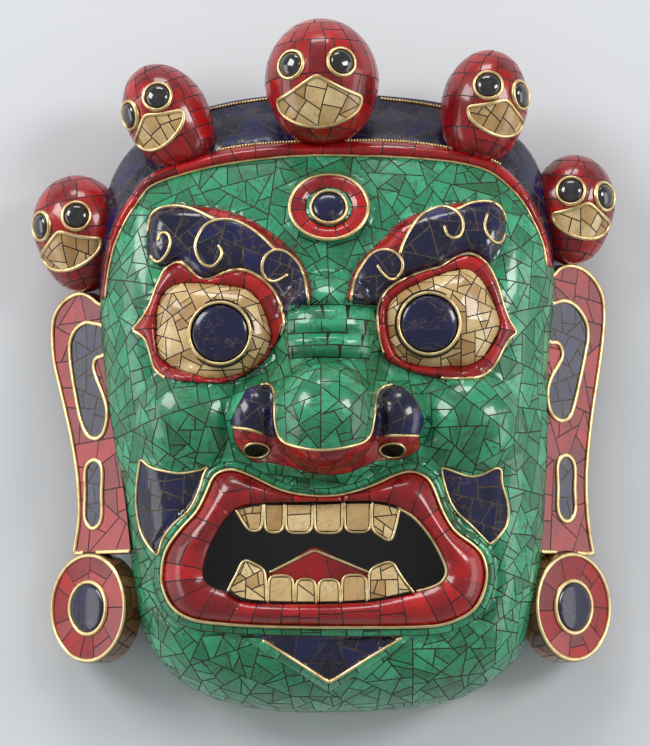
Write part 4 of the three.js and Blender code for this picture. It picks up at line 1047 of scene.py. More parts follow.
def wooden_core():
    """The carved shell under the chips: face side, flat rim, hollow and the walls of the mouth."""
    rim_out = Ring(np.array(divide(counter_clockwise(offset_loop(OUTLINE, CORE_INSET)), 3.0)))
    rim_in = Ring(np.array(divide(counter_clockwise(offset_loop(OUTLINE, SHELL)), 3.0)))
    mouth = Ring(np.array(divide(counter_clockwise(offset_loop(MOUTH, -0.7)), 2.0)))

    def sheet(outer, step, height):
        loops = [outer.path[:-1], mouth.path[:-1]]
        fill = staggered((-112, -168), (113, 136), step)
        fill = fill[(depth_in(loops[0], fill) > step * 0.4) & (depth_in(loops[1], fill) < -step * 0.4)]
        first = len(loops[0])
        outlines = [list(range(first)), list(range(first, first + len(loops[1])))]
        flat, found = triangles([*loops[0], *loops[1], *fill], [], outlines)
        return flat, [triangle for triangle, lies_in in found if 0 in lies_in and 1 not in lies_in], height(flat)

    low = lowest_near(HEIGHTS, 6)              # 3 mm, less than one step of the sheet
    front, front_faces, front_z = sheet(rim_out, 4.0, lambda p: read_grid(low, p) - CORE_DEPTH)
    hollow, hollow_faces, hollow_z = sheet(rim_in, 3.0, carved_hollow)
    points = [np.column_stack((front, front_z)), np.column_stack((hollow, hollow_z))]
    faces = list(front_faces) + [tuple(i + len(front) for i in face[::-1]) for face in hollow_faces]
    base = len(front) + len(hollow)

    def band(rows, flip):
        nonlocal base
        for face in quads(len(rows), len(rows[0])):
            face = tuple(base + i for i in face)
            faces.append(face[::-1] if flip else face)
        points.extend(rows)
        base += len(rows[0]) * len(rows)

    def at_height(path, z):
        return np.column_stack((path, np.broadcast_to(z, len(path))))

    out, inn, hole = rim_out.path[:-1], rim_in.path[:-1], mouth.path[:-1]
    top = read_grid(HEIGHTS, out) - CORE_DEPTH
    band([at_height(out, 0.02), at_height(out, top)], False)
    even = np.linspace(0, 1, 400, endpoint=False)
    shared = rim_in.points(even * rim_in.total)
    outer_of = np.array([out[np.argmin(np.linalg.norm(out - p, axis=1))] for p in shared])
    band([at_height(shared, 0.0), at_height(outer_of, 0.0)], True)
    band([at_height(inn, 0.0), at_height(inn, carved_hollow(inn))], True)
    band([at_height(hole, carved_hollow(hole)), at_height(hole, read_grid(HEIGHTS, hole) - CORE_DEPTH)], True)
    make_object("wooden_core", np.vstack(points), faces, (WOOD,), smooth=False)


GOUGE_DEPTH = 0.35


def carved_hollow(points):
    """The hollow with the shallow scoops that a gouge leaves."""
    x, y = points[:, 0], points[:, 1]
    scoop = np.abs(np.sin(x / 5.1 + 0.7 * np.sin(y / 17))) * 0.6 + np.abs(np.sin(y / 8.3 + x / 41)) * 0.4
    return hollow_height(points) + GOUGE_DEPTH * scoop


def mouth_walls():
    """The coral edge of the mouth, going back into the opening."""
    ring = Ring(MOUTH)

    def place(points):
        base = ring.points(-points[:, 0])
        top = read_grid(HEIGHTS, base) - 0.1
        return np.column_stack((base, top - MOUTH_WALL + points[:, 1]))

    mosaic("mouth_wall_chips", [rectangle((0, 0), (ring.total, MOUTH_WALL))], [], numeric_surface(place),
           *RED, size=10.0, seed=64, border=0.05)


def turn_y(degrees):
    a = math.radians(degrees)
    return np.array(((math.cos(a), 0, math.sin(a)), (0, 1, 0), (-math.sin(a), 0, math.cos(a))))


def turn_z(degrees):
    a = math.radians(degrees)
    return np.array(((math.cos(a), -math.sin(a), 0), (math.sin(a), math.cos(a), 0), (0, 0, 1)))


def place_ring(name, node, radius, point, axes, width=WIRE, height=1.6, sink=0.0, sides=64):
    points, faces = revolve(ring_profile(radius, height, width, sink), point, axes, sides)
    ring = make_object(name, points, faces, (BRASS,))
    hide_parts(node)


def place_stone(name, node, radius, rise, base, point, axes, material):
    points, faces = revolve(cabochon(radius, rise, base), point, axes, 56)
    gem = make_object(name, points, faces, (material,))
    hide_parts(node)


def face_frame(at, reach):
    """Place and normal on the face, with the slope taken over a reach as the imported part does."""
    at = np.array(at, float)
    probes = np.array((at, at + (reach, 0), at - (reach, 0), at + (0, reach), at - (0, reach)))
    z = read_grid(HEIGHTS, probes)
    normal = np.array((-(z[1] - z[2]) / (2 * reach), -(z[3] - z[4]) / (2 * reach), 1))
    return np.array((*at, z[0])), normal / np.linalg.norm(normal)


def eye_stones():
    for side, at in IRISES.items():
        point, normal = face_frame(at, 8)
        point = point - normal * 1.6
        axes = frame_at(normal)
        place_stone(f"iris_{side}_stone", f"iris_{side}", IRIS_RADIUS, 2.6, -1.3, point, axes, LAPIS)
        place_ring(f"iris_{side}_wire", f"iris_{side}_ring", IRIS_RADIUS + 0.3 + WIRE / 2, point, axes,
                   height=2.6, sink=-0.3)
        surface = disc_surface(point - normal * 0.9, axes)
        mosaic(f"iris_{side}_bed", [circle((0, 0), IRIS_RADIUS + 2.9)], [circle((0, 0), IRIS_RADIUS + 1.2)],
               surface, DARK_RESIN_AND_NOSTRIL_SHADE, DARK_RESIN_AND_NOSTRIL_SHADE, "bone", size=30.0, seed=3, border=0)
    point, normal = face_frame(THIRD_EYE, 16)
    axes = frame_at(normal)
    point = point - normal * 0.6
    place_stone("third_eye_stone", "third_eye", THIRD_EYE_STONE_RADIUS, 1.6, -0.9, point, axes, LAPIS)
    place_ring("third_eye_inner_wire", "third_eye_ring", THIRD_EYE_STONE_RADIUS + 0.3 + WIRE / 2, point, axes,
               height=2.4, sink=0.1)
    edge = circle(THIRD_EYE, THIRD_EYE_RADIUS, THIRD_EYE_SQUASH)
    middle = circle(THIRD_EYE, 11.2, THIRD_EYE_SQUASH)
    inner = circle(THIRD_EYE, 8.6, THIRD_EYE_SQUASH)
    rng = np.random.default_rng(71)
    mosaic("third_eye_coral", [edge], [middle], face_surface, *RED, seed=72, step=1.4,
           shards=blocks(edge, middle, 10.0, rng))
    mosaic("third_eye_green", [middle], [inner], face_surface, *GREEN, seed=73, step=1.4,
           shards=blocks(middle, inner, 9.0, rng))
    wires("third_eye_outer_wire", [(edge, True)], face_surface)


def disc_surface(point, axes):
    across, along, normal = axes

    def surface(points):
        points = np.asarray(points, float)
        place = point + points[:, :1] * across + points[:, 1:] * along
        return place, np.tile(normal, (len(points), 1))
    return surface


# Skulls: centre, radius, heights of crown and jaw and drop of the features in radii, lean and turn
SKULLS = {
    "skull_far_left": ((-120, 68, 24), 23.0, 1.14, 1.42, 0.25, 12, -24),
    "skull_left": ((-76, 118.5, 44), 20.8, 1.34, 1.4, -0.03, 29, -29),
    "skull_centre": ((-2, 133, 56), 28.0, 1.12, 1.09, 0.18, 2, -6),
    "skull_right": ((76, 123, 44), 21.4, 1.36, 1.34, 0.0, -11, 26),
    "skull_far_right": ((120, 79, 24), 21.0, 1.2, 1.42, 0.17, -6, 18),
}
JAW_WIDTH = 0.6
SKULL_EYE_AT = (0.44, 0.34)
SKULL_SCALE = 0.975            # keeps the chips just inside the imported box
# Teeth patch on a skull, seen from its front, in skull radii
SKULL_TEETH = [(0, 0.11), (0, 0.11), (0.24, -0.02), (0.46, -0.13), (0.74, -0.22), (0.74, -0.22),
               (0.66, -0.44), (0.38, -0.64), (0, -0.72), (-0.38, -0.64), (-0.66, -0.44), (-0.74, -0.22),
               (-0.74, -0.22), (-0.46, -0.13), (-0.24, -0.02)]


def egg_radius(height, crown, jaw):
    t = np.clip(-height / jaw, 0, 1)
    below = (1 - (1 - JAW_WIDTH) * t ** 1.6) * np.sqrt(1 - t ** 7)
    return np.where(height > 0, np.sqrt(np.clip(1 - (height / crown) ** 2, 0, 1)), below)


def bricks(low, high, rows, width, around, rng):
    """Upright bricks in rows round a turned form; around(y) is the real length round it at a height."""
    levels = np.linspace(low[1], high[1], rows + 1)
    levels[1:-1] += rng.uniform(-0.12, 0.12, rows - 1) * (levels[1] - levels[0])
    found = []
    for bottom, top in zip(levels, levels[1:]):
        count = max(5, round(around((bottom + top) / 2) / width))
        cuts = (np.arange(count) + rng.uniform(-0.22, 0.22, count)) / count
        lean = rng.normal(0, 0.12, count) / count
        first, second = (low[0] + (cuts + way * lean) * (high[0] - low[0]) for way in (-1, 1))
        for k in range(count):
            a, b = first[k], second[k]
            c, d = (first[k + 1], second[k + 1]) if k + 1 < count else (a + high[0] - low[0], b + high[0] - low[0])
            share = rng.uniform(0.35, 0.65)
            if rng.random() < 0.3:
                m, n = a + (b - a) * share, c + (d - c) * share
                middle = bottom + (top - bottom) * share
                found.extend((np.array(((a, bottom), (c, bottom), (n, middle), (m, middle))),
                              np.array(((m, middle), (n, middle), (d, top), (b, top)))))
            else:
                found.append(np.array(((a, bottom), (c, bottom), (d, top), (b, top))))
    return found


def inside_shell(points):
    """True where a point lies so deep in the wood that nobody sees it."""
    deep = depth_in(OUTLINE, points[:, :2]) > 2.0
    deep[deep] = points[deep, 2] < read_grid(HEIGHTS, points[deep, :2]) - 2.5
    return deep


def skulls():
    for number, (name, (at, radius, crown, jaw, drop, lean, turn)) in enumerate(SKULLS.items()):
        rotation = turn_z(lean) @ turn_y(turn)
        size = radius * SKULL_SCALE
        share = np.linspace(0, 1, 600)
        heights = -jaw + (jaw + crown) * (1 - np.cos(math.pi * share)) / 2
        radii = egg_radius(heights, crown, jaw)
        arc = np.concatenate(([0], np.cumsum(np.hypot(np.diff(heights), np.diff(radii))))) * size
        level = float(np.interp(0, heights, arc))

        def place(points):
            angle = points[:, 0] / size
            up = np.interp(points[:, 1], arc - level, heights) * size
            out = np.interp(points[:, 1], arc - level, radii) * size
            local = np.column_stack((out * np.sin(angle), up, out * np.cos(angle)))
            return local @ rotation.T + np.array(at, float)

        surface = numeric_surface(place)

        def unroll(path):
            path = np.asarray(path, float)
            out = egg_radius(path[:, 1], crown, jaw)
            return np.column_stack((np.arcsin(np.clip(path[:, 0] / out, -1, 1)) * size,
                                    np.interp(path[:, 1], heights, arc - level)))

        teeth = unroll(curve(SKULL_TEETH) - (0, drop))
        whole = rectangle((-math.pi * size, arc[0] - level + 0.2), (math.pi * size, arc[-1] - level - 0.2))

        def around(level_up):
            return 2 * math.pi * size * float(np.interp(level_up, arc - level, radii))

        shards = bricks(whole.min(axis=0), whole.max(axis=0), 6, 8.0, around, np.random.default_rng(80 + number))
        coral = mosaic(f"{name}_coral", [whole], [teeth], surface, *RED, size=11.0, seed=80 + number,
                       step=1.9, border=0.02, shards=shards, buried=inside_shell)
        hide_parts(name)
        mosaic(f"{name}_teeth", [teeth], [], surface, *IVORY, size=9.0, seed=90 + number, step=1.5)
        wires(f"{name}_teeth_wire", [(teeth, True)], surface)
        eye_x, eye_y = SKULL_EYE_AT[0], SKULL_EYE_AT[1] - drop
        out = float(egg_radius(np.array(eye_y), crown, jaw))
        for side, sign in (("left", -1), ("right", 1)):
            local = np.array((eye_x * sign, eye_y, math.sqrt(out ** 2 - eye_x ** 2)))
            normal = rotation @ np.array((local[0], local[1] / crown ** 2, local[2]))
            normal /= np.linalg.norm(normal)
            point = rotation @ (local * radius) + np.array(at, float) - normal * 0.7
            axes = frame_at(normal)
            node = f"{name}_eye_{side}"
            place_stone(f"{node}_stone", node, SKULL_EYE_RADIUS, 2.4, -2.2, point, axes, ONYX)
            place_ring(f"{node}_wire", f"{node}_ring", SKULL_EYE_RADIUS + 0.3 + WIRE / 2, point, axes,
                       height=2.6, sink=0.3, sides=48)


# Ears, as seen from the front
EARS = {
    "left": [(-104, 30), (-108.5, 30), (-114.5, 35), (-120, 37), (-127, 34.5), (-132.5, 28.5), (-134.5, 20),
             (-133.5, 4.5), (-130.5, -8), (-124, -34), (-120.5, -54), (-119.5, -72), (-121, -84), (-122, -91),
             (-122, -91), (-86, -91), (-86, -91), (-88, -60), (-95, -20), (-101, 10)],
    "right": [(103, 42), (109, 44), (112.5, 48), (118.5, 50.5), (126, 49), (132.5, 43.5), (136.5, 34.5),
              (136.5, 20), (134, 1.5), (130, -22), (127.5, -42), (126.5, -58), (127.5, -76), (130, -91),
              (130, -91), (94, -91), (94, -91), (96, -50), (98, 0), (100, 30)],
}
EAR_COMMAS = {
    "left": [(-107, 18), (-112.5, 20.5), (-116, 21.5), (-120.5, 19.5), (-123.5, 15.5), (-124.5, 9.5),
             (-123.5, -1), (-120, -19.5), (-118, -27), (-115, -33.5), (-110.5, -35.5), (-107, -33.5),
             (-105, -27.5), (-105, -21), (-107, -14.5), (-109.5, -8.5), (-111.5, -3), (-112, 0.5),
             (-110.5, 4), (-106.5, 5)],
    "right": [(108, 27.5), (111, 30.5), (115.5, 32), (120.5, 30.5), (124.5, 26.5), (127, 21.5), (127.5, 15),
              (126.5, 9.5), (122.5, -8.5), (118.5, -23), (115.5, -26), (112, -26.5), (108, -23.5),
              (106.5, -18.5), (106.5, -11.5), (108.5, -5.5), (111.5, -0.5), (114, 4), (114, 7.5),
              (111.5, 11.5), (107, 11.5)],
}
EAR_SLOTS = {"left": ((-111.5, -62), (4.2, 16.7)), "right": ((115.5, -59), (4.3, 16.2))}
DISCS = {"left": (-114, -116.5, 29), "right": (118.5, -116, 29)}


def long_ears():
    for side, sign in (("left", -1), ("right", 1)):
        rotation = turn_y(EAR_TURN * sign)
        root = np.array((sign * EAR_ROOT, 0, EAR_ROOT_HEIGHT))
        squeeze = 1 / math.cos(math.radians(EAR_TURN))

        def flat(path):
            path = np.asarray(path, float)
            return np.column_stack(((path[:, 0] - sign * EAR_ROOT) * squeeze, path[:, 1]))

        surface = disc_surface(root, rotation.T)
        lobe = flat(curve(EARS[side]))
        comma = flat(curve(EAR_COMMAS[side]))
        (cx, cy), (half_x, half_y) = EAR_SLOTS[side]
        slot_corners = [(cx - half_x, cy + half_y - half_x), (cx, cy + half_y), (cx + half_x, cy + half_y - half_x),
                        (cx + half_x, cy), (cx + half_x, cy - half_y + half_x), (cx, cy - half_y),
                        (cx - half_x, cy - half_y + half_x), (cx - half_x, cy)]
        slot = flat(curve(slot_corners, per_span=5))
        shell = flat(offset_loop(OUTLINE, 1.5))
        to_disc = (np.array(DISCS[side]) - root) @ rotation
        disc = circle(to_disc[:2], DISC_RADIUS + 0.3)
        holes = [comma, slot, shell, disc]
        ear = mosaic(f"ear_{side}_coral", [lobe], holes, surface, *RED, size=15.0, seed=101 + sign,
                     proud=-0.1)
        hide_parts(f"ear_{side}")
        for name, loop, seed in (("comma", comma, 104), ("slot", slot, 107)):
            mosaic(f"ear_{side}_{name}", [loop], [shell], surface, *BLUE, size=11.0, seed=seed + sign,
                   step=1.6, proud=-0.1)
        ring = Ring(lobe)
        kept = open_runs(offset_loop(lobe, 1.0), (shell, disc))
        wires(f"ear_{side}_wires", [(path, False) for path in kept]
              + [(path, False) for path in open_runs(comma, (shell,))] + [(slot, True)], surface, width=2.3)

        def edge_place(points):
            base = ring.points(points[:, 0]) + ring.insides(points[:, 0]) * 0.25
            return np.column_stack((base, points[:, 1] - EAR_THICKNESS)) @ rotation.T + root

        mosaic(f"ear_{side}_edge", [rectangle((0, 0.1), (ring.total, EAR_THICKNESS - 0.2))], [],
               numeric_surface(edge_place), *RED, size=8.0, seed=110 + sign, border=0.02)
        back_plate(f"ear_{side}_back", lobe, rotation, root, EAR_THICKNESS - 0.2)


def open_runs(loop, cutters):
    """Stretches of a closed path that lie outside all the cutters."""
    points = arc_points(loop, True, 1.0)
    free = np.ones(len(points), bool)
    for cutter in cutters:
        free &= depth_in(cutter, points) < 0
    if free.all():
        return [np.vstack((points, points[:1]))]
    start = int(np.argmin(free))
    points, free = np.roll(points, -start, axis=0), np.roll(free, -start)
    runs, run = [], []
    for point, good in zip(points, free):
        if good:
            run.append(point)
        elif run:
            runs.append(run)
            run = []
    if run:
        runs.append(run)
    return [np.array(run) for run in runs if len(run) > 4]


def back_plate(name, loop, rotation, root, depth):
    """Plain wood behind an ear or a disc."""
    loop = counter_clockwise(loop)
    points = np.column_stack((loop, np.full(len(loop), -depth))) @ rotation.T + root
    return make_object(name, points, [tuple(range(len(loop)))[::-1]], (WOOD,), smooth=False)


def ear_discs():
    for side, sign in (("left", -1), ("right", 1)):
        rotation = turn_y(DISC_TURN * sign)
        centre = np.array(DISCS[side], float)
        axes = rotation.T
        surface = disc_surface(centre - axes[2] * 0.5, axes)
        rim = DISC_RADIUS - WIRE / 2 - 0.6
        edge, inner = circle((0, 0), rim), circle((0, 0), DISC_RING_RADIUS - 0.4)
        rng = np.random.default_rng(120 + sign)
        face = mosaic(f"ear_disc_{side}_coral", [edge], [inner], surface, *RED, seed=123 + sign, step=1.6,
                      shards=blocks(edge, inner, 15.0, rng, split=0.35))
        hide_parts(f"ear_disc_{side}")
        place_ring(f"ear_disc_{side}_wire", f"ear_disc_{side}_rim", rim, centre, axes, width=2.0, height=1.7,
                   sink=0.2)
        place_stone(f"ear_disc_{side}_lapis", f"ear_disc_{side}_stone", DISC_RING_RADIUS - WIRE, 1.6, -1.5,
                    centre, axes, LAPIS)
        place_ring(f"ear_disc_{side}_inner_wire", f"ear_disc_{side}_stone_ring",
                   DISC_RING_RADIUS - WIRE + 0.3 + WIRE / 2, centre, axes, width=2.2,
                   height=1.8, sink=0.1)
        radius = DISC_RADIUS - 0.25

        def edge_place(points):
            angle = points[:, 0] / radius
            local = np.column_stack((radius * np.cos(angle), radius * np.sin(angle), points[:, 1]))
            return local @ rotation.T + centre

        around = 2 * math.pi * radius
        mosaic(f"ear_disc_{side}_edge", [rectangle((0, 0.3 - DISC_THICKNESS), (around, -0.6))], [],
               numeric_surface(edge_place), AMBER, DARK_RESIN_AND_NOSTRIL_SHADE, "bone", size=7.5, seed=126 + sign, border=0.02)
        back_plate(f"ear_disc_{side}_back", circle((0, 0), radius), rotation, centre, DISC_THICKNESS - 0.3)


# Ends of the rows are fangs; the teeth between them are rounded bars from one side to the other
UPPER_FANGS = ([(-43, -66), (-42, -72), (-36.5, -81), (-34.5, -82.3), (-31.5, -82.2), (-29.8, -80), (-29, -66)],
               [(21.6, -66), (21.2, -80.5), (25, -84.5), (29.5, -87), (31, -84.5), (33.2, -76), (34.8, -66)])
LOWER_FANGS = ([(-46, -118), (-45.5, -110.5), (-41.5, -102.5), (-38, -95.8), (-33, -97.6), (-28.6, -100.5),
                (-27.8, -108), (-27.5, -118)],
               [(19.6, -118), (19.8, -103), (22, -99), (30, -96.5), (33, -100.5), (37, -106.5), (40.5, -111),
                (41, -118)])
TEETH_ROWS = {
    "upper": (UPPER_FANGS, -66, 1, ((-28.6, -19.4, -83), (-18.8, -6.2, -83.2), (-5.4, 7.6, -83.2),
                                    (8.4, 20.8, -82.8))),
    "lower": (LOWER_FANGS, -118, -1, ((-26.8, -15.0, -102.8), (-14.2, -4.6, -104.3), (-3.8, 6.4, -104.5),
                                      (7.2, 18.8, -102.5))),
}
TONGUE = [(-27, -116), (21, -116), (21, -101.5), (-4, -89.5), (-7, -89.5), (-27, -101.5)]
TONGUE_HEIGHT = 70.2


def teeth_rows():
    mouth_space = offset_loop(MOUTH, 0.3)
    around = inverse_loop(mouth_space)
    for row, (fangs, root, down, bars) in TEETH_ROWS.items():
        shapes = [(fangs[0], 7.0), *[(None, 13.0)] * len(bars), (fangs[1], 7.0)]
        runs = []
        for number, (shape, size) in enumerate(shapes):
            if shape is None:
                left, right, tip = bars[number - 1]
                shape = [(left, root), (left + 0.1, (root + tip) / 2), (left + 0.4, tip + 2.2 * down),
                         (left + 2, tip + 0.3 * down), ((left + right) / 2, tip), (right - 2, tip + 0.3 * down),
                         (right - 0.4, tip + 2.2 * down), (right - 0.1, (root + tip) / 2), (right, root)]
            tooth = curve([shape[0], *shape, shape[-1]], per_span=3)

            def place(points, tooth=tooth):
                depth = depth_in(tooth, points)
                return np.column_stack((points, TOOTH_FRONT - 1.4 + 1.2 * shoulder(depth, 3.2)))

            piece = mosaic(f"{row}_tooth_{number + 1}", [tooth, mouth_space], [], numeric_surface(place),
                           *IVORY, size=size, seed=130 + number + (10 if row == "lower" else 0), step=1.2,
                           skirt=7.0, skirt_way=(0, 0, -1), border=1.0)
            if number == 0:
                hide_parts(f"{row}_teeth")
            runs.extend(open_runs(tooth, [around]))

        def wire_place(points):
            return np.column_stack((points, np.full(len(points), TOOTH_FRONT - 1.1)))

        wires(f"{row}_teeth_wires", [(run, False) for run in runs], numeric_surface(wire_place), step=0.8,
              width=1.3, height=1.4)
    tongue = np.array(TONGUE, float)

    def tongue_place(points):
        return np.column_stack((points, np.full(len(points), TONGUE_HEIGHT)))

    surface = numeric_surface(tongue_place)
    piece = mosaic("tongue_chips", [tongue, mouth_space], [], surface, *RED, size=30.0, seed=150, skirt=6.0,
                   skirt_way=(0, 0, -1))
    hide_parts("tongue")
    wires("tongue_wire", [(np.array([(-26, -101.2), (-5.5, -90.6), (20, -101.2)]), False)], surface, step=0.8,
          sink=0.1)


def inverse_loop(loop):
    """Everything around a closed path, as one path with a slit."""
    loop = counter_clockwise(loop)
    far = 400.0
    start = int(np.argmax(loop[:, 0]))
    loop = np.roll(loop, -start, axis=0)
    frame_loop = [(far, loop[0][1] - 0.001), (far, -far), (-far, -far), (-far, far), (far, far),
                  (far, loop[0][1] + 0.001)]
    return np.array([*frame_loop, *loop, loop[0] - (0, 0.001)])


SCROLLS = {
    "brow_left_scrolls": [
        [(-79, 54.5), (-78, 58), (-75, 58.5), (-73, 55), (-74, 49.5), (-76.5, 46), (-79.5, 44.5),
         (-82.5, 48)],
        [(-84, 60), (-83.3, 67), (-80, 71), (-72, 72.3), (-65, 71), (-57, 67), (-52.5, 64.3)],
        [(-24, 49.2), (-30, 55.5), (-36.5, 60.5), (-44, 64), (-51.5, 64), (-57, 61.5), (-60, 56.5),
         (-61.5, 51.5), (-60, 46), (-57, 42), (-53, 41.5), (-49.5, 45), (-48.5, 49), (-50.5, 51.5)],
        [(-8, 22), (-9, 28), (-10, 35.5), (-13, 42.5), (-18.5, 48), (-24, 49), (-28.5, 46), (-30, 41),
         (-28.5, 36.5), (-24.5, 34), (-21, 35), (-18, 37)]],
    "brow_right_scrolls": [
        [(76, 67.5), (74.5, 62.5), (75.5, 58), (77.5, 55), (80, 53.5), (83, 55), (84.5, 59)],
        [(61, 69.5), (64, 71), (67, 73), (74.5, 75), (80, 74.5), (83.5, 71), (85, 65.5)],
        [(34.5, 47.5), (36.5, 53.5), (40.5, 61), (45.5, 67.5), (51, 70.5), (56, 71.5), (60.5, 69.5),
         (64, 65.5), (64.5, 61), (63, 56.5), (60, 55), (57, 56.5), (55.5, 61)],
        [(11.5, 24), (12.3, 29), (13.5, 35), (16.5, 41), (20, 46), (24.5, 49), (29.5, 49), (34, 46.5),
         (36, 42), (34, 37), (30, 35), (26, 38), (24, 41.5)]],
}
NOSE_WIRE = [(-30, -14.8), (-26.5, -14), (-24, -18), (-23.5, -25), (-23, -34), (-20.5, -41.5), (-15, -44.5),
             (-7, -46.5), (2.5, -46.5), (12.5, -44.5), (19.5, -40.5), (22, -30), (23, -21.5), (25, -16.5),
             (30.5, -14.8)]
LEFT_LID_WIRE = [(-75, -10.5), *LEFT_LID_POINTS[25:], *LEFT_LID_POINTS[:17], (-21, 9)]
RIGHT_LID_WIRE = [(54, -10.5), *RIGHT_LID_POINTS[7::-1], *RIGHT_LID_POINTS[:11:-1], (27, 1)]


MOUTH_INNER_WIRE = [(33, -71.5), (40, -75.5), (47, -83), (52.5, -92), (55.8, -100.5), (53.6, -105.6),
                    (48, -108.6), (42, -110)]
CROWN_BEADS = ([(-57, 124.6), (-43, 127.8), (-29, 129.9)], [(27, 130.1), (43, 128.2), (58, 125.4)])


def mouth_edge(points):
    """Just inside the lips, a little down from their edge."""
    return np.column_stack((points, read_grid(HEIGHTS, points) - 1.2))


def face_wires():
    for name, scrolls in SCROLLS.items():
        wires(name, [(curve(path, closed=False, per_span=6), False) for path in scrolls], face_surface, width=1.5)
    wires("lid_left_wire", [(curve(LEFT_LID_WIRE, closed=False), False)], face_surface)
    wires("lid_right_wire", [(curve(RIGHT_LID_WIRE, closed=False), False)], face_surface)
    wires("lip_wire", [(offset_loop(LIPS, 0.6), True)], face_surface, width=2.2, sink=-0.8)
    wires("band_lower_wire", [(curve(BAND_INNER, closed=False), False)], face_surface, width=1.4)
    bead_wire("band_beads", [curve(BAND_OUTER[5:-7], closed=False)], face_surface)
    wires("nose_wires", [(curve(NOSE_WIRE, closed=False), False),
                         (np.array([(-43, -34.7), (-36, -36), (-29, -38)]), False),
                         (np.array([(27, -38.7), (35, -38.9), (43, -38.5)]), False)], face_surface, width=1.5)
    wires("cheek_wires", [(LEFT_PATCH, True), (RIGHT_PATCH, True)], face_surface, width=1.3)
    wires("chin_wire", [(CHIN_PATCH[[0, 2, 1]], False)], face_surface, width=2.2)
    wires("mouth_inner_wire", [(curve(MOUTH_INNER_WIRE, closed=False), False)], numeric_surface(mouth_edge),
          width=1.6)
    bead_wire("crown_beads", [curve(path, closed=False) for path in CROWN_BEADS], face_surface)
    wires("nostril_wires", [(circle(at, 6.4, 0.5, 40), True) for at in NOSTRILS], face_surface, width=1.3)


def studio():
    """Plain pale floor and backdrop, soft boxes, camera at the photograph's angle."""
    scene = bpy.context.scene
    world = bpy.data.worlds.new("studio")
    world.use_nodes = True
    world.node_tree.nodes["Background"].inputs["Color"].default_value = (0.86, 0.9, 0.92, 1)
    world.node_tree.nodes["Background"].inputs["Strength"].default_value = 0.46
    scene.world = world
    scene.view_settings.view_transform = "Standard"

    target = np.array((-0.5, -4.8, 40.0))
    distance = 1400.0
    pitch = math.radians(6.0)
    camera_data = bpy.data.cameras.new("camera")
    camera = bpy.data.objects.new("camera", camera_data)
    scene.collection.objects.link(camera)
    place = target + distance * np.array((0, -math.sin(pitch), math.cos(pitch)))
    camera.location = to_frame(place)
    camera.rotation_euler = (pitch, 0, 0)
    camera_data.sensor_width = 36.0
    mm_a_pixel, pixels_high = 0.478, 746       # of the photograph
    camera_data.lens = 36.0 * (distance / mm_a_pixel) / pixels_high
    camera_data.clip_end = 20
    scene.camera = camera

    floor_mesh = bpy.data.meshes.new("floor")
    half = 3.0
    floor_mesh.from_pydata([(-half, -half, 0), (half, -half, 0), (half, half, 0), (-half, half, 0)], [],
                           [(0, 1, 2, 3)])
    floor = bpy.data.objects.new("floor", floor_mesh)
    scene.collection.objects.link(floor)
    paper = Look("floor_paper").finish(Base_Color=(0.64, 0.65, 0.665), Roughness=0.9, Specular_IOR_Level=0.1)
    floor_mesh.materials.append(paper)

    def soft_box(name, place, aim, size, power):
        light_data = bpy.data.lights.new(name, "AREA")
        light_data.shape = "RECTANGLE"
        light_data.size, light_data.size_y = size
        light_data.energy = power
        light = bpy.data.objects.new(name, light_data)
        scene.collection.objects.link(light)
        light.location = place
        light.rotation_euler = (Vector(aim) - Vector(place)).to_track_quat("-Z", "Y").to_euler()

    soft_box("soft_box_left", (-1.5, 1.0, 1.25), (0, 0, 0.05), (0.8, 1.0), 25)
    soft_box("soft_box_right", (1.65, 0.7, 1.5), (0, 0, 0.05), (0.62, 0.85), 22)
    soft_box("side_panel_left", (-1.7, -0.15, 0.42), (0, 0, 0.05), (1.7, 0.7), 9)
    soft_box("side_panel_right", (1.7, -0.15, 0.42), (0, 0, 0.05), (1.7, 0.7), 8.5)
    soft_box("soft_box_top", (-0.1, 2.1, 0.8), (0, 0, 0.05), (1.0, 0.4), 13)


CHIN_BLUE = np.array([(-32, -130.4), (37.5, -129.4), (1.5, -152)])

# Folded bridge of the nose, laid in rows between the folds
BRIDGE = curve([(-18, 22.5), (-18, 22.5), (22.5, 22.5), (22.5, 22.5), (22.5, 10), (20, -2.5), (20, -2.5),
                (-17, -2.5), (-17, -2.5), (-18, 10)], per_span=5)
BRIDGE_ROWS = (22.5, 15.5, 9.0, 3.0, -2.5)


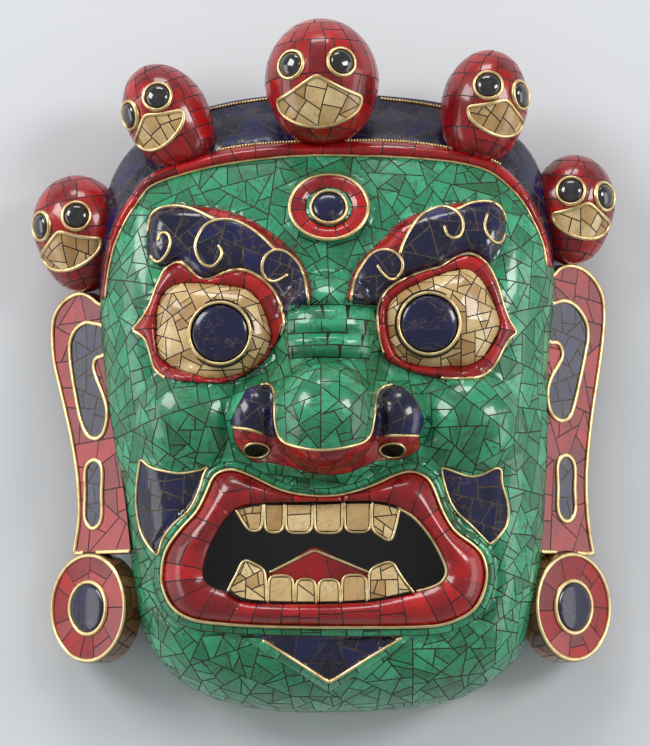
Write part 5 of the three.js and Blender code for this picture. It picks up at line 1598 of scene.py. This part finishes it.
def face_fields():
    """Chips over the carved face, field by field."""
    border = curve(offset_loop(OUTLINE[::4], 1.2))
    sky = 400.0
    above_inner = np.array([(-sky, 31), *curve(BAND_INNER, closed=False), (sky, 46),
                            (sky, sky), (-sky, sky)])
    below_outer = np.array([(sky, 46), *curve(BAND_OUTER, closed=False), (-sky, 31),
                            (-sky, -sky), (sky, -sky)])
    third_eye = circle(THIRD_EYE, THIRD_EYE_RADIUS + WIRE / 2, THIRD_EYE_SQUASH)
    bead = offset_loop(LIPS, -LIP_BEAD_WIDTH)
    holes = [above_inner, LEFT_BROW, RIGHT_BROW, LEFT_LID, RIGHT_LID, bead, LEFT_WING, RIGHT_WING, NOSE_RED,
             LEFT_PATCH, RIGHT_PATCH, CHIN_FRAME, BRIDGE, third_eye]
    face = mosaic("face_chips", [border], holes, face_surface, *GREEN, size=8.8, seed=11)
    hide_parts("mask_body")
    rng = np.random.default_rng(12)
    mosaic("lip_bead_chips", [bead], [LIPS, LEFT_PATCH, RIGHT_PATCH], face_surface, *GREEN, seed=47,
           step=1.6, shards=blocks(bead, LIPS, 9.0, rng, split=0.1))
    mosaic("chin_frame_chips", [CHIN_FRAME], [CHIN_BLUE, bead], face_surface, *GREEN, seed=48, step=1.6,
           shards=blocks(np.array([(-45, -130), (1.5, -159), (48, -129)]),
                         np.array([(-29, -132.5), (1.5, -152), (34.5, -131.5)]), 12.0, rng, closed=False, split=0))
    rows = []
    for top, bottom in zip(BRIDGE_ROWS[:-1], BRIDGE_ROWS[1:]):
        at = -24 - rng.uniform(0, 6)
        while at < 26:
            wide = rng.uniform(7, 13)
            lean, drop = rng.normal(0, 0.8, 2)
            rows.append(hull([(at, bottom + drop * 0.3), (at + wide, bottom + drop * 0.3), (at + wide + lean, top),
                              (at + lean, top)]))
            at += wide
    mosaic("bridge_chips", [BRIDGE], [], face_surface, *GREEN, seed=49, step=1.3, shards=rows)
    mosaic("crown_chips", [border], [below_outer], face_surface, *BLUE, size=13.0, seed=12)
    band_shards = blocks(curve(BAND_OUTER, closed=False), curve(BAND_INNER, closed=False), 13.0, rng, closed=False,
                         spill=0.6)
    mosaic("band_chips", [BAND], [], face_surface, *RED, seed=13, step=1.6, shards=band_shards)
    for number, (name, loop, cut, kit, size) in enumerate((
            ("left_blue", LEFT_BROW_BLUE, [], BLUE, 13.0), ("right_blue", RIGHT_BROW_BLUE, [], BLUE, 13.0),
            ("left_red", LEFT_BROW, [LEFT_BROW_BLUE], RED, 8.0),
            ("right_red", RIGHT_BROW, [RIGHT_BROW_BLUE], RED, 8.0))):
        mosaic(f"brow_{name}", [loop], cut, face_surface, *kit, size=size, seed=14 + number, step=1.6)
    for side, lid, ball, seed in (("left", LEFT_LID, LEFT_EYEBALL, 20), ("right", RIGHT_LID, RIGHT_EYEBALL, 30)):
        iris = circle(IRISES[side], IRIS_RADIUS + WIRE / 2 + 0.3)
        mosaic(f"lid_{side}_chips", [lid], [ball], face_surface, *RED, seed=seed, step=1.5,
               shards=blocks(lid, ball, 13.0, rng, split=0.05))
        mosaic(f"eyeball_{side}_chips", [ball], [iris], face_surface, *IVORY, size=7.4, seed=seed + 1,
               step=1.6)
    mosaic("lip_chips", [LIPS], [MOUTH], face_surface, *RED, seed=40, step=1.7,
           shards=blocks(LIPS, MOUTH, 13.0, rng, split=0.3))
    holes = [circle(at, 5.9, 0.5, 40) for at in NOSTRILS]
    # Each nostril is a disc of dark resin: painted shade, standing in for the dark inside the nostril hole
    for number, hole in enumerate(holes):
        mosaic(f"nostril_{number + 1}", [hole], [], face_surface, DARK_RESIN_AND_NOSTRIL_SHADE, DARK_RESIN_AND_NOSTRIL_SHADE, "coral", size=30.0,
               seed=50, step=1.2, border=0)
    mosaic("nose_red_chips", [NOSE_RED], holes, face_surface, CORAL, CORAL_RESIN, "coral", size=9.0, seed=41,
           step=1.3)
    for name, loop, seed in (("nose_left_wing", LEFT_WING, 42), ("nose_right_wing", RIGHT_WING, 43),
                             ("cheek_left_patch", LEFT_PATCH, 44), ("cheek_right_patch", RIGHT_PATCH, 45),
                             ("chin_patch", CHIN_BLUE, 46)):
        mosaic(f"{name}_blue", [loop], [bead], face_surface, *BLUE, size=11.0, seed=seed, step=1.6)


studio()
wooden_core()
face_fields()
shell_sides()
mouth_walls()
eye_stones()
skulls()
long_ears()
ear_discs()
teeth_rows()
face_wires()
